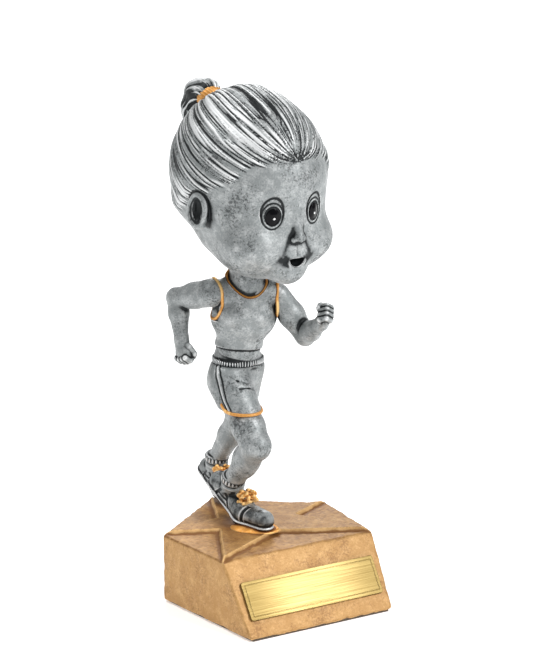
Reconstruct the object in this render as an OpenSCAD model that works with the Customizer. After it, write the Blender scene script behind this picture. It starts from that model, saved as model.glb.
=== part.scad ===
// Bobble-head runner trophy: a cast resin runner glued and pinned to a star-topped base,
// with a cast head that floats on a coil spring. Millimetres, +Z up.
// The origin is the centre of the footprint on the surface it stands on, and the runner faces -Y.
// The runner's right side is -X.

/* [Base] */
// Height of the base up to its sunk panels, with the felt pad
base_h = 20.6; // [18:0.2:24]
// Width of the sloping front face along its top edge
front_w = 51.2; // [46:0.2:54]
// Width across the two side corners
side_w = 57; // [56:0.5:64]
// Distance from the front top edge back to the side corners
side_back = 29; // [26:0.5:31]
// Distance from the front top edge to the back corner
top_depth = 50.5; // [46:0.5:54]
// How far the front face slopes forward from its top edge to its foot
front_slope = 13.9; // [11:0.1:17]
// Height of the star above the sunk panels
star_h = 1.1; // [0.8:0.1:2]
// Thickness of the felt pad under the base
felt_t = 0.6; // [0.4:0.1:1.4]

/* [Nameplate] */
// Width of the nameplate
plate_w = 45; // [38:0.5:46]
// Height of the nameplate, measured up the slope
plate_h = 11.5; // [9:0.5:13]
// Thickness of the nameplate
plate_t = 0.6; // [0.4:0.1:1]
// Distance of the nameplate below the top edge of the sloping face
plate_drop = 7.2; // [4:0.2:10]
// Thickness of its adhesive tape
tape_t = 0.2; // [0.1:0.05:0.3]

/* [Runner] */
// Height of the pelvis above the base's panels
pelvis_h = 45; // [44:0.5:47]
// Radius of the thighs at the hem of the shorts
thigh_r = 4.7; // [4.2:0.1:5]
// Radius of the shins
shin_r = 3.5; // [3:0.1:3.8]
// Radius of the upper arms
arm_r = 3.2; // [2.8:0.1:3.4]
// Radius of the fists
fist_r = 3.5; // [3:0.1:3.8]
// Half width of the chest
chest_r = 9.8; // [8.5:0.1:10.2]
// How far the chest twists towards the runner's right
chest_twist = 20; // [10:1:26]

/* [Head] */
// Width of the cranium
head_w = 43.6; // [40:0.2:46]
// Front to back length of the cranium
head_l = 49; // [46:0.5:52]
// Height of the head from its chin to its crown
head_h = 54.2; // [50:0.2:58]
// Height of the chin above the base's panels
chin_h = 77.6; // [77:0.2:79]
// How far the head looks towards the runner's left
head_turn = 5; // [0:1:10]
// Radius of the spring's socket in the head
socket_r = 9; // [8:0.2:10]

/* [Spring] */
// Radius of the spring wire
wire_r = 0.45; // [0.35:0.05:0.5]
// Radius of the coil, to the middle of the wire
coil_r = 3.6; // [3.4:0.1:4]
// Rise of the open turns, each
open_pitch = 2.6; // [2.2:0.1:2.8]
// Number of open turns
open_turns = 6; // [5:1:6]

/* [Hidden] */

// Base outline
y_front = -17;                                  // front top edge
y_foot = y_front - front_slope;                 // foot of the front face
y_side = y_front + side_back;                   // side corners
y_back = y_front + top_depth;                   // back corner
plate_up = norm([front_slope, base_h]) - plate_drop - plate_h;
flare = (side_w - front_w) / 2 / side_back;     // sideways taper of the side walls
foot_half = front_w / 2 - flare * front_slope;
slope_angle = atan2(front_slope, base_h);       // of the front face, from upright
star_top = base_h + star_h;

function corner_ring(front_y, front_half) = [
    [-front_half, front_y], [front_half, front_y], [side_w / 2, y_side], [0, y_back], [-side_w / 2, y_side]];
// Each notch of the star, given for the +X side
star_notches = [[0, -4.8], [13.9, 4.9], [8.7, 14.9]];

// A point that lies a length away from another. Heading 0 is forwards (-Y), 90 is to the runner's left (+X).
function reach(from, length, heading, rise) =
    from + length * [sin(heading) * cos(rise), -cos(heading) * cos(rise), sin(rise)];

// The pose, as joint centres
pelvis = [-3.3, 12.5, base_h + pelvis_h];
waist = reach(pelvis, 9.4, 0, 76);
chest = reach(waist, 10.3, 0, 75);
neck = reach(chest, 8.1, 0, 81);
right_hip = reach(pelvis, 5.6, -51, -5);
right_knee = reach(right_hip, 21.7, 1, -47);
right_ankle = reach(right_knee, 20.2, 177, -46);
left_hip = reach(pelvis, 5, 115, 18);
left_knee = reach(left_hip, 18, 171, -76);
left_ankle = reach(left_knee, 19.3, -175, -54);
right_shoulder = reach(chest, 11.8, -105, 32);
right_elbow = reach(right_shoulder, 12.6, -159, -11);
right_wrist = reach(right_elbow, 12.2, -14, -70);
right_fist = reach(right_wrist, 4.4, 0, -73);
left_shoulder = reach(chest, 12.3, 62, 27);
left_elbow = reach(left_shoulder, 13.9, 66, -60);
left_wrist = reach(left_elbow, 15.4, -13, 27);
left_fist = reach(left_wrist, 5.3, -14, 41);

// Shoes: heel, ball and toe centres, raised from the base's panels
right_shoe = [for (p = [[-6.6, 15.8, 11.6], [-5.4, 3.6, 5], [-3.4, -3.6, 4.5]]) p + [0, 0, base_h]];
left_shoe = [for (p = [[1.2, 35.2, 9.4], [1.3, 26.2, 5.2], [1.8, 20, 4.2]]) p + [0, 0, base_h]];
front_peg = [-5, 1.5, base_h - 11];             // bottom of the front leg's wire, in the base
rear_peg = [1.4, 23.5, base_h - 8];             // bottom of the rear leg's wire, in the base
wire_leg_r = 0.9;
glue_gap = 0.12;

// Spring and head heights
neck_top = base_h + 79;
flange_t = 1.2;
spring_z = neck_top + flange_t;
end_turns = 1.5;
end_pitch = 2 * wire_r + 0.1;
foot_rise = end_turns * end_pitch;
spring_h = 2 * foot_rise + open_turns * open_pitch + 2 * wire_r;
cap_z = spring_z + spring_h;
boss_r = coil_r - wire_r - 0.1;
boss_h = 2.4;
spring_x = neck[0];
spring_y = neck[1];
socket_top = cap_z + 1.6;
head_axis = [spring_x, 4, 0];
head_bottom = base_h + chin_h;
cranium = [0, 0, head_bottom + head_h - 23.8];
tie_centre = [0, 18, cranium[2] + 18.6];        // in the head's own frame
tie_tilt = 50;                                  // of the tie's axis, from upright towards the back

module ball(p, r, fn = 20) {
    translate(p) sphere(r = r, $fn = fn);
}

// A limb: balls of given radii joined in a chain
module limb(points, radii, grow = 0) {
    for (i = [0 : len(points) - 2])
        hull() {
            ball(points[i], radii[i] + grow);
            ball(points[i + 1], radii[i + 1] + grow);
        }
}

// A straight round bar from one point to another
module bar(from, to, r) {
    step = to - from;
    run = norm([step[0], step[1]]);
    translate(from)
        rotate([0, atan2(run, step[2]), atan2(step[1], step[0])])
            cylinder(r = r, h = norm(step), $fn = 32);
}

// A wire bent through points, its corners rounded over a run to each side
function unit(v) = v / norm(v);
function corner(a, b, c, run) = let (p = b + run * unit(a - b), q = b + run * unit(c - b))
    [for (i = [0 : 6]) let (t = i / 6) (1 - t) * (1 - t) * p + 2 * t * (1 - t) * b + t * t * q];
function bent(points, run) = let (n = len(points) - 1)
    [points[0], for (i = [1 : n - 1]) each corner(points[i - 1], points[i], points[i + 1], run), points[n]];

// A closed tube with rings of points along a path that stays clear of the X direction
module tube(path, r, sides = 16) {
    n = len(path) - 1;
    rings = [for (i = [0 : n])
        let (along = unit(path[min(i + 1, n)] - path[max(i - 1, 0)]), u = unit(cross([1, 0, 0], along)), v = cross(u, along))
            for (k = [0 : sides - 1]) path[i] + r * (cos(360 * k / sides) * u + sin(360 * k / sides) * v)];
    polyhedron(rings, swept_faces(n, sides), convexity = 6);
}

// The faces of a sweep: the walls between one ring of points and the next, and the two ends
function swept_faces(steps, sides) = concat(
    [for (i = [0 : steps - 1], k = [0 : sides - 1]) let (m = (k + 1) % sides)
        [i * sides + k, i * sides + m, (i + 1) * sides + m, (i + 1) * sides + k]],
    [[for (k = [sides - 1 : -1 : 0]) k], [for (k = [0 : sides - 1]) steps * sides + k]]);

// An upright body section: an ellipse that a hull can join to the next one
module section(centre, half_w, half_d, twist = 0, h = 2) {
    translate(centre) rotate([0, 0, twist]) scale([half_w, half_d, h]) sphere(r = 1, $fn = 28);
}

// ---- base ----
module base_casting() {
    color("#b08a4e") difference() {
        union() {
            difference() {
                translate([0, 0, felt_t]) linear_extrude(base_h - felt_t) polygon(corner_ring(y_foot, foot_half));
                translate([0, y_foot, 0]) rotate([-slope_angle, 0, 0]) translate([-50, -60, -20]) cube([100, 60, 80]);
            }
            translate([0, 0, base_h - 1]) linear_extrude(star_h + 1) star_outline();
        }
        for (peg = [front_peg, rear_peg]) bar(peg, peg + [0, 0, 20], wire_leg_r + glue_gap);
    }
}

module star_outline() {
    tips = corner_ring(y_front, front_w / 2);
    n = star_notches;
    inset = 0.985;
    polygon([tips[0] * inset, n[0], tips[1] * inset, n[1], tips[2] * inset, n[2], tips[3] * inset,
             [-n[2][0], n[2][1]], tips[4] * inset, [-n[1][0], n[1][1]]]);
}

module felt_pad() {
    color("#4a3a2a") linear_extrude(felt_t) offset(delta = -1.2) polygon(corner_ring(y_foot, foot_half));
}

// Places a thing on the front face: x along the face, y up the slope, z out of it
module on_front_face(up) {
    translate([0, y_foot, 0]) rotate([90 - slope_angle, 0, 0]) translate([0, up, 0]) children();
}

module nameplate_tape() {
    color("white") on_front_face(plate_up) translate([-plate_w / 2 + 0.5, 0.5, 0])
        cube([plate_w - 1, plate_h - 1, tape_t]);
}

module nameplate() {
    color("#c9a64a") on_front_face(plate_up) translate([-plate_w / 2, 0, tape_t])
        cube([plate_w, plate_h, plate_t]);
}

// The gold fillet of epoxy that the front toe stands in
module toe_fillet() {
    color("#e0a040") difference() {
        translate([-4.6, 0.4, star_top]) rotate([0, 0, -38]) scale([6.2, 3.9, 1.5]) cylinder(r1 = 1, r2 = 0.86, h = 1, $fn = 40);
        shoe(right_shoe, 0.02);
        bar(front_peg, front_peg + [0, 0, 20], wire_leg_r + glue_gap);
    }
}

// ---- runner ----
module shoe(path, grow = 0) {
    hull() {
        ball(path[0], 3.4 + grow);
        ball(path[1] + [0, 0, 0.2], 3.5 + grow);
    }
    hull() {
        ball(path[1] + [0, 0, 0.2], 3.5 + grow);
        ball(path[2], 2.9 + grow);
    }
}

module torso(grow = 0) {
    hull() {
        section(pelvis, 7.9 + grow, 7.2 + grow, 12, 5 + grow);
        section(waist, 6.4 + grow, 5.4 + grow, 4);
    }
    hull() {
        section(waist, 6.4 + grow, 5.4 + grow, 4);
        section(chest, chest_r + grow, 6.2 + grow, -chest_twist, 3);
    }
    hull() {
        section(chest, chest_r + grow, 6.2 + grow, -chest_twist, 3);
        section(chest + [0, -0.6, 5.4], chest_r - 0.6 + grow, 4.8 + grow, -chest_twist, 2.6 + grow);
    }
    hull() {
        ball(neck - [0, 0, 2], 5.2);
        translate([neck[0], neck[1], neck_top - 6]) cylinder(r = 5, h = 6, $fn = 32);
    }
}

module legs() {
    hem = right_hip * 0.45 + right_knee * 0.55;
    limb([right_hip, hem], [6.2, thigh_r + 0.7]);
    limb([hem, right_knee, right_ankle], [thigh_r, thigh_r - 0.3, shin_r - 0.2]);
    limb([left_hip, left_knee], [5.8, thigh_r - 0.5]);
    limb([left_knee, left_ankle], [thigh_r - 0.8, shin_r - 0.6]);
    shoe(right_shoe);
    shoe(left_shoe);
    limb([right_ankle, right_shoe[1]], [shin_r + 0.2, 3.2]);
    limb([left_ankle, left_shoe[1]], [shin_r - 0.2, 3]);
}

module runner_casting() {
    color("#8c9092") difference() {
        union() {
            torso();
            legs();
        }
        front_wire(glue_gap);
        rear_wire(glue_gap);
        pins(glue_gap);
        translate([0, 0, neck_top - plug_stem]) cylinder_at_neck(plug_stem_r + glue_gap, plug_stem + 1);
        translate([-50, -50, 0]) cube([100, 100, star_top + 0.02]);
    }
}

module right_arm() {
    color("#8c9092") difference() {
        union() {
            limb([right_shoulder, right_elbow, right_wrist], [arm_r + 0.4, arm_r, 2.1]);
            limb([right_wrist, right_fist], [2.1, fist_r]);
        }
        torso(glue_gap);
        pins(glue_gap);
    }
}

module left_arm() {
    color("#8c9092") difference() {
        union() {
            limb([left_shoulder, left_elbow, left_wrist], [arm_r + 0.6, arm_r, 2.4]);
            limb([left_wrist, left_fist], [2.4, fist_r]);
        }
        torso(glue_gap);
        pins(glue_gap);
    }
}

// A straight steel pin through each shoulder
module pins(grow = 0) {
    for (shoulder = [right_shoulder, left_shoulder]) {
        inward = unit(chest + [0, 0, 4] - shoulder);
        bar(shoulder + 6 * inward, shoulder - 2.4 * inward, 0.6 + grow);
    }
}

module shoulder_pins() {
    color("silver") pins();
}

// The wires run up from the base, through the shoes and shins
module front_wire(grow = 0) {
    path = [front_peg, front_peg + [0, 0, 16], right_ankle, right_knee, right_hip * 0.5 + right_knee * 0.5];
    tube(bent(path, 5), wire_leg_r + grow);
}

module rear_wire(grow = 0) {
    path = [rear_peg, rear_peg + [0, 0, 12], left_ankle, left_knee];
    tube(bent(path, 4), wire_leg_r - 0.1 + grow);
}

module front_leg_wire() {
    color("silver") front_wire();
}

module rear_leg_wire() {
    color("silver") rear_wire();
}

// ---- spring and its two ends ----
plug_stem = 7;
plug_stem_r = 2.4;

module cylinder_at_neck(r, h) {
    translate([spring_x, spring_y, 0]) cylinder(r = r, h = h, $fn = 64);
}

module neck_plug() {
    color("ivory") {
        translate([0, 0, neck_top - plug_stem]) cylinder_at_neck(plug_stem_r, plug_stem);
        translate([0, 0, neck_top]) cylinder_at_neck(4.6, flange_t);
        translate([0, 0, spring_z]) cylinder_at_neck(boss_r, boss_h);
    }
}

module spring_cap() {
    color("ivory") {
        translate([0, 0, cap_z]) cylinder_at_neck(socket_r - glue_gap, socket_top - cap_z - 0.05);
        translate([0, 0, cap_z - boss_h]) cylinder_at_neck(boss_r, boss_h);
    }
}

// Height of the coil's centre line after a number of turns
function coil_rise(t) = wire_r + min(t, end_turns) * end_pitch
    + max(0, min(t - end_turns, open_turns)) * open_pitch
    + max(0, t - end_turns - open_turns) * end_pitch;

// The wire from turn t0 to turn t1, swept as rings of points
module coil(t0, t1) {
    sides = 8;
    steps = ceil((t1 - t0) * 18);
    points = [for (i = [0 : steps]) let (t = t0 + (t1 - t0) * i / steps, a = 360 * t)
        for (k = [0 : sides - 1]) let (b = 360 * k / sides, rr = coil_r + wire_r * cos(b))
            [rr * cos(a), rr * sin(a), coil_rise(t) + wire_r * sin(b)]];
    color("silver") translate([spring_x, spring_y, spring_z])
        polyhedron(points, swept_faces(steps, sides), convexity = 8);
}

third = open_turns / 3;
module spring_foot_turns() { coil(0, end_turns); }
module spring_lower_turns() { coil(end_turns, end_turns + third); }
module spring_middle_turns() { coil(end_turns + third, end_turns + 2 * third); }
module spring_upper_turns() { coil(end_turns + 2 * third, end_turns + 3 * third); }
module spring_crown_turns() { coil(end_turns + open_turns, 2 * end_turns + open_turns); }

// ---- head ----
module in_head_frame() {
    translate(head_axis) rotate([0, 0, head_turn]) children();
}

module egg(centre, size, fn = 36) {
    translate(centre) scale(size) sphere(r = 1, $fn = fn);
}

module head_casting() {
    color("#8c9092") difference() {
        in_head_frame() {
            hull() {
                egg(cranium, [head_w / 2, head_l / 2, 23.8]);
                for (side = [-1, 1]) egg([side * 10, -10.5, head_bottom + 11], [9.2, 10.4, 8.6], 24);
                egg([0, -16.6, head_bottom + 4.8], [5.4, 4.6, 4.8], 20);
                egg([0, 7, head_bottom + 10.8], [12.5, 10.5, 8], 24);
            }
            for (side = [-1, 1]) egg([side * 20.8, -2, head_bottom + 22.4], [2, 4.2, 5.6], 18);
        }
        translate([0, 0, head_bottom - 2]) cylinder_at_neck(socket_r, socket_top - head_bottom + 2);
        in_head_frame() ponytail_spigot(glue_gap);
    }
}

// Turns a thing that is modelled upright so that it stands along the tie's axis
module on_tie() {
    translate(tie_centre) rotate([-tie_tilt, 0, 0]) children();
}

module ponytail_spigot(grow = 0) {
    on_tie() translate([0, 0, -8]) cylinder(r = 2.2 + grow, h = 8.5 + grow, $fn = 32);
}

module ponytail() {
    path = [for (p = [[20.4, 18.4, 3.3], [24.4, 17, 4], [27, 13, 4], [27.4, 8, 3], [26.4, 3.6, 1.5]])
        [[0, p[0], cranium[2] + p[1]], p[2]]];
    color("#8c9092") in_head_frame() difference() {
        union() {
            on_tie() cylinder(r = 2.9, h = 4, $fn = 32);
            limb([for (p = path) p[0]], [for (p = path) p[1]]);
        }
        tie_ring(0.06);
        egg(cranium, [head_w / 2 + 0.1, head_l / 2 + 0.1, 23.9]);
    }
    color("#8c9092") in_head_frame() ponytail_spigot();
}

module tie_ring(grow = 0) {
    on_tie() translate([0, 0, 1.6]) rotate_extrude($fn = 64) translate([3.4, 0]) circle(r = 1.15 + grow, $fn = 32);
}

module hair_tie() {
    color("#e0a040") in_head_frame() tie_ring();
}

base_casting();
felt_pad();
nameplate();
nameplate_tape();
toe_fillet();
runner_casting();
right_arm();
left_arm();
shoulder_pins();
front_leg_wire();
rear_leg_wire();
neck_plug();
spring_foot_turns();
spring_lower_turns();
spring_middle_turns();
spring_upper_turns();
spring_crown_turns();
spring_cap();
head_casting();
ponytail();
hair_tie();
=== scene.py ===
# %% [markdown]
# # A bobble-head runner trophy
# The trophy is cast in resin: a silver-painted runner stands on a gold star base, and its big
# head floats on a coil spring. The imported CAD model is loaded first as a fixed frame. It holds
# every size, every joint and every place, and this file only dresses it.

# %% Load the frame
import math

import bpy
import numpy as np
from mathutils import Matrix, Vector


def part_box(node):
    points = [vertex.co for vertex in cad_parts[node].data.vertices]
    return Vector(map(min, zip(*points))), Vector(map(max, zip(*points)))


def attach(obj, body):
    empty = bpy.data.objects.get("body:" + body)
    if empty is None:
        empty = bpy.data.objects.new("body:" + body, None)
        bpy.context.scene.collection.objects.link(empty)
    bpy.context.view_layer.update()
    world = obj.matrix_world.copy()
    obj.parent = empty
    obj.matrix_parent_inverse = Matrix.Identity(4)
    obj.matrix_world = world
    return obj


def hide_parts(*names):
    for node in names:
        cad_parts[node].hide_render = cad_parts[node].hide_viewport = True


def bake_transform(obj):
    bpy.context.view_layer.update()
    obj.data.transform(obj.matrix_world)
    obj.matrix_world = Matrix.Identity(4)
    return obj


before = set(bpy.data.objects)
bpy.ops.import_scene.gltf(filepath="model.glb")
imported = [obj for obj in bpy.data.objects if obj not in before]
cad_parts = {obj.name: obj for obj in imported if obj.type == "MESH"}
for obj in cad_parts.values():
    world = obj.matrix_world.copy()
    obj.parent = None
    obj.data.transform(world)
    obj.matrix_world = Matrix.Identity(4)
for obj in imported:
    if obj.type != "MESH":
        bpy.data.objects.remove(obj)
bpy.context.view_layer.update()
MM = 0.001


def box_mm(node):
    low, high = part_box(node)
    return np.array(low) / MM, np.array(high) / MM


# %% [markdown]
# ## Camera, light and floor
# A product picture of a small trophy is taken with a long lens from a little above, under large
# soft lamps, so that no shadow is hard and the metal-like paint has something bright to reflect.
# The floor is a plain pale sheet.

# %% Camera and studio
LENS_MM = 151.0
ROOM_LIGHT = 0.34
EYE = Vector((-0.4108, -0.6640, 0.2924))
LOOK_ALONG = Vector((0.5085, 0.8201, -0.2622))


def add_camera():
    camera = bpy.data.cameras.new("camera")
    camera.lens = LENS_MM
    camera.sensor_width = 36
    camera.clip_start = 0.05
    holder = bpy.data.objects.new("camera", camera)
    holder.location = EYE
    holder.rotation_euler = LOOK_ALONG.to_track_quat("-Z", "Y").to_euler()
    bpy.context.collection.objects.link(holder)
    bpy.context.scene.camera = holder


def add_lamp(name, place, aim, size, watts):
    lamp = bpy.data.lights.new(name, "AREA")
    lamp.shape = "SQUARE"
    lamp.size = size
    lamp.energy = watts
    holder = bpy.data.objects.new(name, lamp)
    holder.location = place
    holder.rotation_euler = (Vector(aim) - Vector(place)).to_track_quat("-Z", "Y").to_euler()
    bpy.context.collection.objects.link(holder)


# How far from the middle, in metres, and how strongly the paper glows there.
GLOW_NEAR, GLOW_FAR = (0.3, 0.42), (1.3, 0.72)
FLOOR_REACH = 4.0


def add_floor():
    mesh = bpy.data.meshes.new("floor")
    corners = [
        (x * FLOOR_REACH, y * FLOOR_REACH, 0) for x, y in ((-1, -1), (1, -1), (1, 1), (-1, 1))
    ]
    mesh.from_pydata(corners, [], [(0, 1, 2, 3)])
    floor = bpy.data.objects.new("floor", mesh)
    bpy.context.collection.objects.link(floor)
    paper = bpy.data.materials.new("pale paper")
    paper.use_nodes = True
    shader = paper.node_tree.nodes["Principled BSDF"]
    shader.inputs["Base Color"].default_value = (0.93, 0.93, 0.93, 1)
    shader.inputs["Roughness"].default_value = 0.9
    shader.inputs["Emission Color"].default_value = (1, 1, 1, 1)
    place = paper.node_tree.nodes.new("ShaderNodeTexCoord").outputs["Object"]
    away = paper.node_tree.nodes.new("ShaderNodeVectorMath")
    away.operation = "LENGTH"
    glow = paper.node_tree.nodes.new("ShaderNodeMapRange")
    for end, (distance, strength) in (("Min", GLOW_NEAR), ("Max", GLOW_FAR)):
        glow.inputs["From " + end].default_value = distance
        glow.inputs["To " + end].default_value = strength
    paper.node_tree.links.new(place, away.inputs[0])
    paper.node_tree.links.new(away.outputs["Value"], glow.inputs["Value"])
    paper.node_tree.links.new(glow.outputs["Result"], shader.inputs["Emission Strength"])
    mesh.materials.append(paper)


def add_studio():
    """A soft white room that lights gently and is pure white where the camera sees it."""
    world = bpy.data.worlds.new("studio")
    world.use_nodes = True
    tree = world.node_tree
    seen = tree.nodes.new("ShaderNodeLightPath").outputs["Is Camera Ray"]
    strength = tree.nodes.new("ShaderNodeMapRange")
    strength.inputs["To Min"].default_value = ROOM_LIGHT
    strength.inputs["To Max"].default_value = 1.0
    tree.links.new(seen, strength.inputs["Value"])
    background = tree.nodes["Background"]
    background.inputs["Color"].default_value = (1, 1, 1, 1)
    tree.links.new(strength.outputs["Result"], background.inputs["Strength"])
    scene = bpy.context.scene
    scene.world = world
    scene.view_settings.view_transform = "Standard"
    middle = (0, 0, 0.08)
    add_lamp("key lamp", (0.42, -0.78, 0.75), middle, 0.30, 8.0)
    add_lamp("top lamp", (-0.30, 0.15, 0.95), middle, 0.25, 3.6)
    add_lamp("rim lamp", (0.45, 0.7, 0.6), middle, 0.4, 3.0)


add_camera()
add_studio()
add_floor()

# %% [markdown]
# ## Modelling with distances
# A cast figure has no flat panels or sharp seams: limbs melt into each other, and cloth, hair and
# laces are pressed into one skin. Such forms are easiest to describe by distance. Each shape is a
# function that says how far a point lies from its surface, negative inside. The smaller of two
# distances joins two shapes, and a smooth minimum melts them together like clay. All lengths here
# are in millimetres.

# %% Distance shapes
def length(v):
    return np.sqrt(np.einsum("...i,...i->...", v, v))


def unit(v):
    v = np.asarray(v, float)
    return v / np.linalg.norm(v)


def ball(points, centre, radius):
    return length(points - np.asarray(centre)) - radius


def egg(points, centre, size):
    size = np.asarray(size, float)
    away = (points - np.asarray(centre)) / size
    far = length(away)
    return far * (far - 1) / np.maximum(length(away / size), 1e-6)


def bone(points, start, end, start_radius, end_radius):
    start, end = np.asarray(start, float), np.asarray(end, float)
    run = end - start
    share = np.clip((points - start) @ run / (run @ run), 0, 1)
    return (
        length(points - start - share[:, None] * run)
        - (start_radius + (end_radius - start_radius) * share)
    )


def chain(points, path, radii, soft=0.8):
    whole = None
    for i in range(len(path) - 1):
        part = bone(points, path[i], path[i + 1], radii[i], radii[i + 1])
        whole = part if whole is None else melt(whole, part, soft)
    return whole


def ring(points, centre, axis, radius, thickness):
    away = points - np.asarray(centre)
    along = away @ unit(axis)
    out = length(away - along[:, None] * unit(axis))
    return np.hypot(out - radius, along) - thickness


def melt(a, b, soft):
    share = np.clip(0.5 + 0.5 * (b - a) / soft, 0, 1)
    return b + (a - b) * share - soft * share * (1 - share)


def carve(a, tool, soft):
    return -melt(-a, tool, soft)


def keep(a, within, soft=0.01):
    return -melt(-a, -within, soft)


def steps(value, start, end):
    share = np.clip((value - start) / (end - start), 0, 1)
    return share * share * (3 - 2 * share)


def turned(points, centre, degrees):
    """Points measured from a centre, in a frame turned about the upright through it."""
    c, s = math.cos(math.radians(degrees)), math.sin(math.radians(degrees))
    away = points - np.asarray(centre)
    return np.stack(
        [away[:, 0] * c + away[:, 1] * s, away[:, 1] * c - away[:, 0] * s, away[:, 2]], -1
    )


# Large whole numbers that scatter the corners of a lattice, so that each gets its own random value.
SCATTER_X, SCATTER_Y, SCATTER_Z, SCATTER_AGAIN = 374761393, 668265263, 2147483647, 1274126177


def lumps(points, size, seed=0):
    """Smooth random lumps of about a given size, from -1 to 1."""
    q = np.asarray(points) / size + 37.3 * (seed + 1)
    corner = np.floor(q).astype(np.int64)
    part = q - corner
    part = part * part * (3 - 2 * part)
    total = 0
    for dx in (0, 1):
        for dy in (0, 1):
            for dz in (0, 1):
                x, y, z = corner[:, 0] + dx, corner[:, 1] + dy, corner[:, 2] + dz
                h = x * SCATTER_X + y * SCATTER_Y + z * SCATTER_Z
                h = (h ^ (h >> 13)) * SCATTER_AGAIN
                value = ((h ^ (h >> 16)) & 0xFFFF) / 32767.5 - 1
                wx = part[:, 0] if dx else 1 - part[:, 0]
                wy = part[:, 1] if dy else 1 - part[:, 1]
                wz = part[:, 2] if dz else 1 - part[:, 2]
                total = total + value * wx * wy * wz
    return total


# %% [markdown]
# ## From distance to mesh
# A grid is laid over the shape. Each grid cell that the surface crosses gets one point, and each
# grid edge that it crosses gets one four-sided face between the cells around it. This is called
# surface nets. The points are then slid along the slope of the distance until they lie exactly on
# the surface. Only blocks near the surface are worked out finely, which keeps it quick. Each
# point also stores how deep in a hollow and how high on a ridge it lies, because the paint is
# dark in hollows and rubbed bright on ridges. The darkness also holds painted shade where
# neighbouring parts shade each other, and painted marks add more shade and highlight.

# %% Skin a distance
BLOCK = 8
CORNERS = [(i, j, k) for i in (0, 1) for j in (0, 1) for k in (0, 1)]


def sample(distance, low, high, cell):
    blocks = np.ceil((high - low) / (cell * BLOCK)).astype(int)
    index = np.stack(np.meshgrid(*[np.arange(b) for b in blocks], indexing="ij"), -1).reshape(-1, 3)
    middle = distance(low + (index + 0.5) * BLOCK * cell)
    field = np.where(middle < 0, -1.0, 1.0).reshape(blocks)
    for axis in range(3):
        field = np.repeat(field, BLOCK, axis=axis)
    near = index[np.abs(middle) < BLOCK * cell * 1.15 + 0.4]
    inner = np.stack(np.meshgrid(*[np.arange(BLOCK)] * 3, indexing="ij"), -1).reshape(-1, 3)
    nodes = (near[:, None] * BLOCK + inner[None]).reshape(-1, 3)
    for part in np.array_split(nodes, max(1, len(nodes) // 200000)):
        field[tuple(part.T)] = distance(low + part * cell)
    return field


def nets(field, low, cell):
    inside = field < 0
    n = np.array(field.shape)
    corner_inside = [
        inside[i : n[0] - 1 + i, j : n[1] - 1 + j, k : n[2] - 1 + k] for i, j, k in CORNERS
    ]
    count = sum(c.astype(np.int8) for c in corner_inside)
    cells = np.argwhere((count > 0) & (count < 8))
    number = np.full(n - 1, -1)
    number[tuple(cells.T)] = np.arange(len(cells))
    values = {c: field[tuple((cells + c).T)] for c in CORNERS}
    total, crossings = np.zeros((len(cells), 3)), np.zeros(len(cells))
    for a in CORNERS:
        for axis in range(3):
            if a[axis]:
                continue
            b = tuple(v + (i == axis) for i, v in enumerate(a))
            cut = (values[a] < 0) != (values[b] < 0)
            share = np.where(cut, values[a] / np.where(cut, values[a] - values[b], 1), 0)
            spot = np.tile(np.array(a, float), (len(cells), 1))
            spot[:, axis] += share
            total += spot * cut[:, None]
            crossings += cut
    points = low + (cells + total / crossings[:, None]) * cell
    faces = []
    for axis in range(3):
        u, v = np.eye(3, dtype=int)[(axis + 1) % 3], np.eye(3, dtype=int)[(axis + 2) % 3]
        here, there = np.moveaxis(inside, axis, 0)[:-1], np.moveaxis(inside, axis, 0)[1:]
        nodes = np.argwhere(np.moveaxis(here != there, 0, axis))
        nodes = nodes[
            (nodes @ u > 0) & (nodes @ v > 0) & (nodes @ u < n @ u - 1) & (nodes @ v < n @ v - 1)
        ]
        quads = np.stack([number[tuple((nodes - step).T)] for step in (0 * u, u, u + v, v)], -1)
        leaving = inside[tuple(nodes.T)]
        faces.append(np.where(leaving[:, None], quads, quads[:, ::-1]))
    return points, np.concatenate(faces)


def slope(distance, points, reach=0.04):
    value = distance(points)
    change = np.stack([distance(points + reach * axis) - value for axis in np.eye(3)], -1) / reach
    steep = np.maximum(length(change), 1e-6)
    return value, change / steep[:, None], steep


def settle(distance, points, cell, rounds=3):
    for _ in range(rounds):
        value, way, steep = slope(distance, points)
        points = points - np.clip(value / steep, -cell, cell)[:, None] * way
    return points


def store(mesh, name, values):
    mesh.attributes.new(name, "FLOAT", "POINT").data.foreach_set(
        "value", np.asarray(values, np.float32)
    )


def make_mesh(name, points, faces, material=None):
    mesh = bpy.data.meshes.new(name)
    mesh.vertices.add(len(points))
    mesh.vertices.foreach_set("co", (np.asarray(points) * MM).astype(np.float32).ravel())
    faces = np.asarray(faces)
    mesh.loops.add(faces.size)
    mesh.loops.foreach_set("vertex_index", faces.ravel().astype(np.int32))
    mesh.polygons.add(len(faces))
    mesh.polygons.foreach_set(
        "loop_start", (np.arange(len(faces)) * faces.shape[1]).astype(np.int32)
    )
    mesh.update(calc_edges=True)
    mesh.polygons.foreach_set("use_smooth", np.ones(len(faces), bool))
    piece = bpy.data.objects.new(name, mesh)
    bpy.context.collection.objects.link(piece)
    if material:
        mesh.materials.append(material)
    return piece


HOLLOW_REACH = (0.35, 0.9, 2.2)
BEND_REACH = 0.6


def bend(distance, points, out):
    """How far the surface curves away to its sides: over 0 on a ridge, under 0 in a valley."""
    side = np.cross(out, [0.31, 0.52, 0.79])
    side /= np.maximum(length(side), 1e-6)[:, None]
    other = np.cross(out, side)
    here = distance(points)
    around = sum(distance(points + BEND_REACH * way) for way in (side, -side, other, -other)) / 4
    return (around - here) / BEND_REACH


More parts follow.
